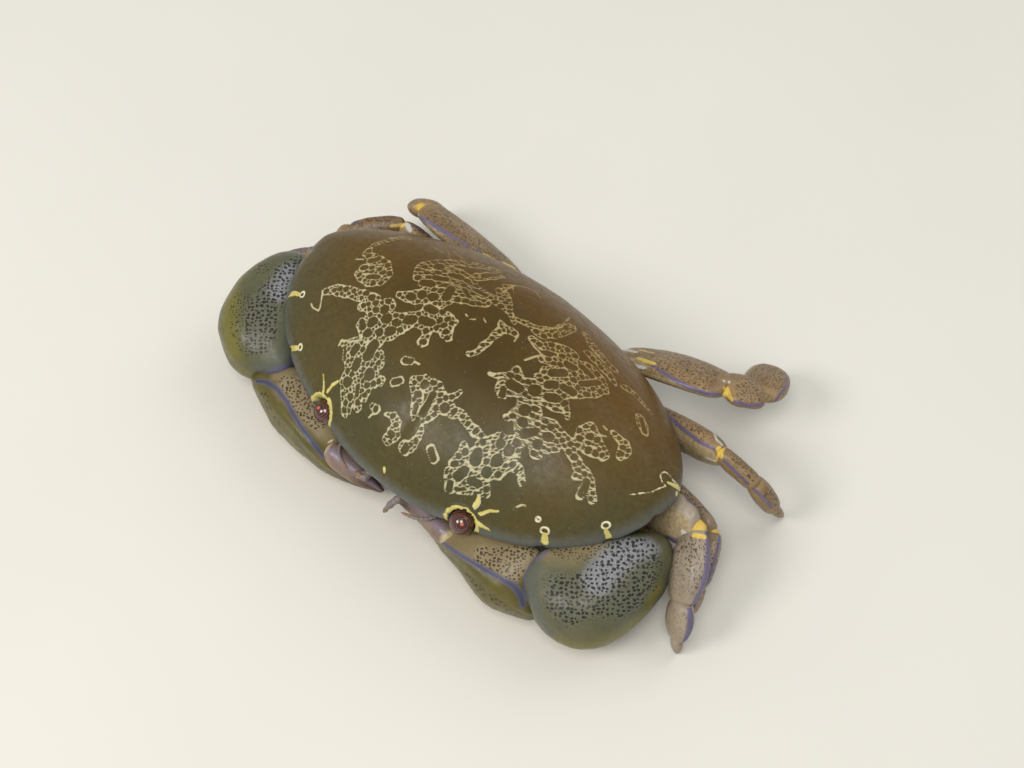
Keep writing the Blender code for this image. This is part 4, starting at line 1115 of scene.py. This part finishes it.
# Marks seen on the legs, as chains of (x, y, radius) in pixels of the frame.
LEG_MARKS = {
    ("L5", "merus"): {
        "crest": [[(652, 365, 1.5), (668, 376, 1.8), (690, 388, 2.0), (706, 393, 2.0), (720, 395, 1.8)]],
        "pale": [[(626, 350, 2.8), (636, 352, 2.6)], [(636, 366, 2.2), (645, 368, 1.8)], [(724, 381, 2.0)]],
        "yellow": [[(640, 350, 1.8), (654, 353, 1.6)], [(638, 358, 2.2), (646, 361, 2.6), (656, 364, 2.0)], [(724, 388, 1.6), (726, 395, 3.2)]],
        "cream": [[(630, 360, 5), (646, 366, 3)]],
    },
    ("L5", "carpus"): {
        "crest": [[(734, 401, 1.4), (748, 406, 1.6), (762, 404, 1.4)]],
        "pale": [[(729, 382, 1.8)]],
        "yellow": [[(728, 388, 1.4), (729, 395, 3.0), (732, 400, 1.8)]],
    },
    ("L5", "propodus"): {"crest": [[(786, 366, 1.2), (787, 385, 1.2), (772, 405, 1.2)]]},
    ("L4", "merus"): {
        "crest": [[(649, 399, 1.3), (668, 415, 1.6), (684, 430, 1.7), (700, 442, 1.7), (714, 449, 1.5)]],
        "yellow": [[(719, 449, 3.2), (720, 455, 2.6)]],
        "pale": [[(713, 431, 1.5), (717, 440, 1.7), (722, 445, 1.4)], [(706, 458, 1.3), (716, 461, 1.3)]],
        "cream": [[(654, 412, 4), (668, 424, 5), (681, 437, 6), (695, 449, 5.5), (707, 457, 4)]],
    },
    ("L4", "carpus"): {
        "crest": [[(724, 461, 1.4), (736, 472, 1.5), (748, 484, 1.5)]],
        "yellow": [[(720, 449, 3.0), (721, 456, 2.4)]],
    },
    ("L4", "propodus"): {"crest": [[(750, 485, 1.5), (764, 499, 1.5), (772, 508, 1.3)]]},
    ("L2", "merus"): {
        "crest": [[(683, 491, 1.8), (693, 501, 2.2), (701, 512, 2.2), (704, 522, 1.6)], [(668, 537, 2.2), (676, 541, 2.8), (685, 540, 2.6)]],
        "yellow": [[(694, 534, 2.0), (703, 535, 2.2)], [(700, 526, 2.0), (699, 531, 2.6)]],
        "pale": [[(683, 532, 2.6), (688, 536, 2.0)]],
    },
    ("L2", "carpus"): {"yellow": [[(694, 535, 2.4), (704, 537, 2.4)]]},
    ("L3", "merus"): {
        "crest": [[(694, 490, 1.2), (706, 504, 1.6), (716, 520, 1.6), (719, 530, 1.2)]],
        "yellow": [[(713, 533, 2.4), (713, 545, 2.4)]],
    },
    ("R4", "merus"): {
        "crest": [[(413, 225, 1.6), (430, 235, 1.7), (446, 244, 1.6)]],
        "pale": [[(407, 224, 3.0), (410, 230, 2.6)]],
        "yellow": [[(391, 226, 1.4), (403, 225, 2.4)]],
    },
    ("R4", "carpus"): {
        "crest": [[(343, 231, 2.2), (347, 225, 2.4), (358, 222, 1.4)]],
        "yellow": [[(391, 226, 1.4), (403, 225, 2.4)]],
    },
    ("R5", "merus"): {
        "crest": [[(420, 217, 1.8), (440, 229, 2.0), (460, 241, 2.0), (481, 251, 1.6)]],
        "yellow": [[(484, 254, 1.8), (497, 261, 1.8)], [(504, 263, 2.2), (514, 268, 2.2)]],
    },
}
skin_v, skin_f, skin_y = [], [], []
base_v, base_f = [], []


def join_into(store_v, store_f, limb):
    off = sum(len(v) for v in store_v)
    store_v.append(limb.verts)
    store_f.extend([tuple(i + off for i in f) for f in limb.faces])


for leg, (joints, half, ups) in LEGS.items():
    for k, part in enumerate(("merus", "carpus", "propodus", "dactyl")):
        a, b = np.array(joints[k]), np.array(joints[k + 1])
        d = unit(b - a)
        start = a - d * 0.45 if k else a
        end = b if part == "dactyl" else b + d * 0.10
        slim = SLIM.get((leg, part), 1.0)
        sizes = [(half[k][0] * f * slim, half[k][1] * f * slim) for f in FORMS.get((leg, part), PROFILE[part])]
        res = {"merus": (72, 96), "carpus": (72, 64), "propodus": (64, 56), "dactyl": (48, 44)}[part]
        limb = Limb([start, (start + end) / 2 + np.array(BOW.get((leg, part), (0, 0, 0))), end], sizes, ups[k], *res,
                    blunt=0.8 if part == "dactyl" else 0.44, square=0.9, crest=0.16 if part != "dactyl" else 0.1, crest_power=14)
        n = limb.normals()
        limb.verts = limb.verts + n * (0.03 * wobble(limb.verts, 2.0, 71 + k))[:, None]
        limb.verts[:, 2] = np.maximum(limb.verts[:, 2], FLOOR)
        p, t = limb.verts, limb.t
        z = np.zeros(len(p))
        tree = limb.tree()
        marks = LEG_MARKS.get((leg, part), {})
        shown = {key: np.clip(field(p, tree, marks.get(key, []), -1.0), -1, 1) for key in ("crest", "yellow", "pale", "cream")}
        cream = smooth(shown.pop("cream"), -0.15, 0.2)
        if "crest" not in marks and part != "dactyl" and (leg, part) not in BARE:
            away = np.abs(np.arctan2(np.sin(limb.turn - np.pi / 2), np.cos(limb.turn - np.pi / 2)))
            shown["crest"] = np.where(t < 0.04, -1, np.clip((0.26 if leg == "L2" else 0.10) - away * half[k][0] * 0.9, -1, 1))
        # the front face of a merus is pale, its lower side cream
        front = smooth(-n[:, 1] - n[:, 2] * 0.2, 0.30, 0.65) * smooth(0.12 - shown["crest"], 0.0, 0.2)
        attrs = {"t": t, "u": t * limb.length, "v": limb.turn * half[k][1] * 0.8,
                 "cream": np.maximum(np.maximum(cream, smooth(-np.sin(limb.turn), 0.5, 1.0) * (0.9 if part != "dactyl" else 0.2)),
                                     front * (0.8 if part == "merus" else 0.35)),
                 "spotty": smooth(t, 0.05, 0.2) * (1 - smooth(t, 0.85, 0.98)) * (1 if part != "dactyl" else 0.3) * (1 - 0.75 * front) * (1 - cream),
                 # tip: dark dactyl tips, and painted shade on the R4 carpus where it tucks under the carapace margin
                 "tip": smooth(t, 0.45, 0.8) if part == "dactyl" else z + (0.66 if (leg, part) == ("R4", "carpus") else 0.0),
                 "pinkish": z + (0.9 if leg == "L2" else 0.5 if leg == "L3" else 0.0)}
        if leg == "L2" and part == "merus":
            attrs["spotty"] = z
        attrs.update(shown)
        name = "leg_%s_%s" % (leg, part)
        make(name + "_shell", p, limb.faces, limb_mat, [name], attrs)
        if part != "dactyl":  # soft joint skin between this segment and the next
            nb = np.array(joints[k + 2])
            d2 = unit(nb - b)
            r = min(half[k][0] * 0.58, half[k + 1][0] * 0.66)
            h = half[k + 1][1] * PROFILE[("carpus", "propodus", "dactyl")[k]][0] * 0.68
            join_into(skin_v, skin_f, Limb([b - d * 0.7, b, b + d2 * 0.7], [(r, h)] * 3, ups[k + 1], 16, 12, blunt=0.7))
            skin_y.append(np.full(len(skin_v[-1]), 1.0 if k == 0 else 0.0))
    # hip: coxa and basis between the breast plate and the leg
    a, b = np.array(joints[0]), np.array(joints[1])
    d = unit(b - a)
    sx = 1 if leg[0] == "L" else -1
    root = np.array([sx * 10.3, joints[0][1] * 0.86, -8.6])
    if leg[1] == "5":
        root = np.array([sx * 7.0, 9.0, -8.3])
    elif leg[1] == "4":
        root = np.array([sx * 9.6, 7.2, -8.6])
    mid = (root + a) / 2
    for q0, q1, s0, s1 in ((root, mid + (a - root) * 0.12, 1.5, 1.35), (mid + (a - root) * 0.06, a + d * 0.9, 1.2, 1.1)):
        join_into(base_v, base_f, Limb([q0, (q0 + q1) / 2, q1], [(s0, s0), (s0 * 1.05, s0 * 1.05), (s1, s1)], (0, 0, 1), 24, 16, blunt=0.6))

for side, sx in (("L", 1), ("R", -1)):
    a = np.array([sx * 11.3, -6.0, -8.2])
    root = np.array([sx * 8.2, -6.6, -8.8])
    join_into(base_v, base_f, Limb([root, (root + a) / 2, a + np.array([sx * 0.8, 0.2, 0])],
                                   [(1.7, 1.5), (1.7, 1.6), (1.4, 1.4)], (0, 0, 1), 24, 16, blunt=0.6))
    merus_end = np.array(CLAWS[side]["merus"][0][2])
    carpus_in = np.array(CLAWS[side]["carpus"][0][0]) + np.array([-sx * 0.6, -2.2, -1.0])
    join_into(skin_v, skin_f, Limb([merus_end - np.array([sx * 0.8, 0, 0]), (merus_end + carpus_in) / 2, carpus_in],
                                   [(1.2, 1.2), (1.5, 1.5), (1.3, 1.4)], (0, 0, 1), 20, 14, blunt=0.7))
    skin_y.append(np.zeros(len(skin_v[-1])))


def skin_look():
    k = Look("joint_skin", 0.5, IOR=1.45)
    fine = k.noise(3.0, 4, 0.6)
    fold = k.noise(1.2, 3, 0.5, k.stretched(3, 1, 3))
    col = k.mix(k.ramp(fold, 0.35, 0.65), srgb(150, 126, 84), srgb(112, 90, 60))
    col = k.mix(k.mul(k.attr("yellow"), 0.85), col, srgb(206, 172, 72))
    return k.finish(col, k.add(fold, k.mul(fine, 0.4)), 0.08, k.ramp(fine, 0.3, 0.8, 0.42, 0.6))


def under_look():
    k = Look("underside", 0.45, Coat_Weight=0.04, Coat_Roughness=0.2, IOR=1.5)
    big = k.noise(0.25, 3, 0.55)
    fine = k.noise(2.0, 4, 0.6)
    col = k.mix(k.ramp(big, 0.35, 0.65), srgb(184, 164, 128), srgb(162, 140, 106))
    col = k.mix(k.mul(k.ramp(fine, 0.35, 0.75), 0.4), col, srgb(134, 112, 84))
    col = k.mix(k.mul(k.ramp(k.attr("groove"), 0.2, 0.9), 0.7), col, srgb(96, 74, 54))
    spots = k.spots(1.2, 0.22, 0.06, k.warped(1.2, 0.3), 0.8)
    col = k.mix(k.mul(spots, 0.35), col, srgb(110, 84, 60))
    return k.finish(col, k.add(fine, k.mul(k.voronoi(2.2, out="Distance"), 0.5)), 0.05, k.ramp(fine, 0.3, 0.8, 0.38, 0.52))


skin_mat, under_mat = skin_look(), under_look()
make("joint_skin", np.concatenate(skin_v), skin_f, skin_mat, (), {"yellow": np.concatenate(skin_y)})
bv = np.concatenate(base_v)
make("leg_bases", bv, base_f, under_mat, (), {"groove": np.zeros(len(bv))})

# --------------------------------------------------------------- underside
RINGS_T, AROUND_T = 96, 144
tv, tg = [], []
for i in range(RINGS_T + 1):
    s = i / RINGS_T
    cz = math.cos(math.pi * s)
    for j in range(AROUND_T if 0 < i < RINGS_T else 1):
        a = 2 * math.pi * j / AROUND_T
        c, sn = math.cos(a), math.sin(a)
        r = ((abs(c) / 11.6) ** 2.6 + (abs(sn) / (11.4 if sn < 0 else 10.6)) ** 2.6) ** (-1 / 2.6)
        rho_t = math.sin(math.pi * s) ** 0.45 if 0 < s < 1 else 0.0
        x, y = r * rho_t * c, r * rho_t * sn - 0.6
        topz = float(shell_floor(np.array(y))) - 0.3
        low = -10.15 + 0.09 * abs(x) + 0.02 * max(0.0, -y - 6) ** 1.5
        lift = 0.5 * (1 + math.copysign(abs(cz) ** 0.5, cz))
        z = low + (topz - low) * lift
        g = 0.0
        if s > 0.5:  # grooves between the plates of the breast, fanning out to the legs
            for kk, yy in enumerate((-5.6, -1.9, 1.6, 5.0, 8.0)):
                line_y = yy + 0.10 * (abs(x) - 3) * (kk - 1.6)
                g = max(g, math.exp(-((y - line_y) / 0.28) ** 2) * min(1, max(0, (abs(x) - 2.0) / 1.5)))
            g = max(g, math.exp(-(abs(x) / 0.25) ** 2) * (1 if y < -4.5 else 0))
            z += 0.22 * g * min(1, max(0, rho_t * 3))
            z -= 0.12 * (1 - g) * math.sin(min(1, abs(x) / 11) * math.pi)
        tv.append((x, y, z))
        tg.append(g)
tv = np.array(tv)
tf = outward(tv, ball_faces(RINGS_T - 1, AROUND_T))
make("thorax_shell", tv, tf, under_mat, ["thorax"], {"groove": np.array(tg)})

ab = Limb([(0, 11.9, -7.5), (0, 12.5, -8.8), (0, 12.2, -9.95), (0, 10.0, -10.72), (0, 4, -10.8), (0, -4.5, -10.75)],
          [(6.1, 0.6), (5.8, 0.55), (5.4, 0.42), (5.0, 0.36), (3.4, 0.36), (1.1, 0.34)],
          [(0, 1, 0.3), (0, 1, 0.1), (0, 1, -0.4), (0, 0.25, -1), (0, 0, -1), (0, 0, -1)], 72, 120, blunt=0.5)
g = np.zeros(len(ab.verts))
for tk in (0.16, 0.27, 0.38, 0.50, 0.63, 0.76):
    g = np.maximum(g, np.exp(-((ab.t - tk) * ab.length / 0.22) ** 2))
nn = ab.normals()
ab.verts = ab.verts - nn * (0.12 * g)[:, None]
ab.verts[:, 2] = np.maximum(ab.verts[:, 2], FLOOR)
make("abdomen_shell", ab.verts, ab.faces, under_mat, ["abdomen"], {"groove": g})

# ---------------------------------------------------------------- the head
def eye_look():
    k = Look("eye", 0.10, Coat_Weight=0.6, Coat_Roughness=0.04, IOR=1.5)
    r = k.attr("ring")
    n = k.noise(3.0, 2, 0.5)
    waves = k.math("SINE", k.mul(k.add(r, k.mul(n, 0.02)), 46.0))
    col = k.mix(k.ramp(waves, -0.6, 0.8), srgb(38, 17, 13), srgb(96, 52, 40))
    col = k.mix(k.ramp(r, 0.0, 0.17, 1, 0), col, srgb(214, 92, 60))
    col = k.mix(k.ramp(r, 0.17, 0.32, 1, 0), col, srgb(60, 24, 18), )
    col = k.mix(k.ramp(r, 0.0, 0.13, 1, 0), col, srgb(226, 110, 76))
    col = k.mix(k.ramp(r, 0.74, 0.92), col, k.mix(k.ramp(k.noise(4.0), 0.35, 0.65), srgb(128, 112, 116), srgb(92, 78, 78)))
    return k.finish(col, k.voronoi(9.0, out="Distance"), 0.01)


def stalk_look():
    k = Look("stalk", 0.4, IOR=1.5)
    fine = k.noise(3.0, 4, 0.6)
    col = k.mix(k.ramp(fine, 0.35, 0.65), srgb(150, 134, 112), srgb(120, 104, 96))
    col = k.mix(k.spots(2.4, 0.3, 0.06, k.warped(1.5, 0.2)), col, srgb(84, 66, 60))
    col = k.mix(k.ramp(k.attr("t"), 0.55, 0.8), col, srgb(206, 184, 110))
    return k.finish(col, fine, 0.03, k.ramp(fine, 0.3, 0.8, 0.34, 0.46))


def feeler_look():
    k = Look("feeler", 0.45, IOR=1.45)
    fine = k.noise(3.0, 4, 0.6)
    col = k.mix(k.ramp(fine, 0.35, 0.65), srgb(104, 104, 112), srgb(128, 114, 102))
    bands = k.ramp(k.math("SINE", k.mul(k.attr("t"), 60.0)), 0.2, 0.9)
    col = k.mix(k.mul(bands, 0.5), col, srgb(104, 84, 70))
    col = k.mix(k.ramp(k.attr("t"), 0.6, 0.9), col, srgb(126, 92, 62))
    return k.finish(col, k.add(fine, bands), 0.03, k.ramp(fine, 0.3, 0.8, 0.4, 0.55))


eye_mat, stalk_mat, feeler_mat = eye_look(), stalk_look(), feeler_look()
for side, sx in (("L", 1), ("R", -1)):
    c = EYE_AT * np.array([sx, 1, 1])
    axis = unit(np.array([0.42 * sx if sx > 0 else 0.05, -0.45, 0.80]))
    if sx < 0:
        c = c + np.array([0.12, 0.30, -0.38])
        axis = unit(np.array([-0.30, -0.45, 0.84]))
    ref = unit(np.cross(axis, [0, 0, 1.0]))
    ref2 = np.cross(axis, ref)
    R_, A_ = 40, 64
    ev, er = [], []
    for i in range(R_ + 1):
        th = math.pi * i / R_
        for j in range(A_ if 0 < i < R_ else 1):
            a = 2 * math.pi * j / A_
            v = axis * math.cos(th) + (ref * math.cos(a) + ref2 * math.sin(a)) * math.sin(th)
            rad = EYE_R * (1 + 0.02 * math.cos(th))
            ev.append(c + v * rad * 0.985)
            er.append(th / (math.pi / 2))
    ev = np.array(ev)
    make("eye_%s_ball" % side, ev, outward(ev, ball_faces(R_ - 1, A_)), eye_mat, ["eye_" + side], {"ring": np.array(er)})
    stalk = Limb([(sx * 7.9, -14.6, -3.85), (sx * 8.9, -15.8, -3.6), (sx * 9.75, -16.9, -2.75)],
                 [(0.6, 0.45), (0.85, 0.6), (1.15, 1.1)], (0, 0, 1), 32, 28, blunt=0.7)
    make("eyestalk_%s_shell" % side, stalk.verts, stalk.faces, stalk_mat, ["eyestalk_" + side], {"t": stalk.t})
    ant = Limb([(sx * 6.9, -17.3, -3.72), (sx * 6.5, -18.5, -3.68), (sx * 5.6, -19.4, -3.5), (sx * 3.9, -20.0, -3.5)],
               [(0.30, 0.28), (0.20, 0.20), (0.13, 0.13), (0.05, 0.05)], (0, 0.2, 1), 14, 60, blunt=0.85)
    make("antenna_%s_shell" % side, ant.verts, ant.faces, feeler_mat, ["antenna_" + side], {"t": ant.t})
    mx = Limb([(sx * 3.0, -14.4, -5.9), (sx * 2.9, -14.1, -8.0), (sx * 2.3, -12.9, -10.3)],
              [(2.3, 0.6), (2.6, 0.65), (1.8, 0.55)], (0, -1, -0.1), 48, 64, blunt=0.5, square=0.8)
    gg = np.exp(-((mx.t - 0.36) * mx.length / 0.16) ** 2)
    nn = mx.normals()
    mx.verts = mx.verts - nn * (0.14 * gg)[:, None]
    make("maxilliped_%s_shell" % side, mx.verts, mx.faces, under_mat, ["maxilliped_" + side], {"groove": gg})

FEEL = {"L": ([(2.7, -17.6, -4.1), (2.1, -19.3, -4.4), (1.2, -20.2, -6.6)], [(0.5, 0.5), (0.4, 0.4), (0.24, 0.24)]),
        "R": ([(-2.4, -17.6, -4.1), (-2.2, -19.2, -4.3), (-3.4, -19.5, -4.0)], [(0.5, 0.5), (0.42, 0.42), (0.3, 0.3)])}
for side, (path, sizes) in FEEL.items():
    f = Limb(path, sizes, (0, 0.2, 1), 20, 50, blunt=0.8)
    f.verts = f.verts + f.normals() * (0.04 * np.cos(f.t * 22))[:, None]
    make("antennule_%s_shell" % side, f.verts, f.faces, feeler_mat, ["antennule_" + side], {"t": f.t})


# ---------------------------------------------------------- floor and light
def floor_look():
    k = Look("floor", 0.75)
    n = k.noise(0.02, 3, 0.5)
    return k.finish(k.mix(n, srgb(214, 212, 204), srgb(206, 204, 196)))


me = bpy.data.meshes.new("floor")
me.from_pydata([(-3, -3, 0), (3, -3, 0), (3, 3, 0), (-3, 3, 0)], [], [(0, 1, 2, 3)])
me.materials.append(floor_look())
floor = bpy.data.objects.new("floor", me)
floor.location.z = -0.0002
bpy.context.scene.collection.objects.link(floor)

bpy.context.scene.view_settings.view_transform = "Standard"
world = bpy.data.worlds.new("studio")
bpy.context.scene.world = world
world.use_nodes = True
world.node_tree.nodes["Background"].inputs["Color"].default_value = (0.97, 0.97, 0.96, 1)
world.node_tree.nodes["Background"].inputs["Strength"].default_value = 0.55


def softbox(name, direction, distance, size, power, color=(1, 0.97, 0.92)):
    data = bpy.data.lights.new(name, "AREA")
    data.shape = "DISK"
    data.size = size
    data.energy = power
    data.color = color
    ob = bpy.data.objects.new(name, data)
    d = Vector(unit(np.array(direction)))
    ob.location = Vector((0, -0.002, 0.012)) + d * distance
    ob.rotation_euler = d.to_track_quat("Z", "Y").to_euler()
    bpy.context.scene.collection.objects.link(ob)
    return ob


softbox("key", (-0.264, -0.681, 0.683), 0.55, 0.20, 1.3)
softbox("fill", (0.183, -0.354, 0.917), 0.6, 0.26, 1.6)
softbox("back", (0.3, 0.8, 0.9), 0.7, 0.5, 0.8, (0.95, 0.97, 1))
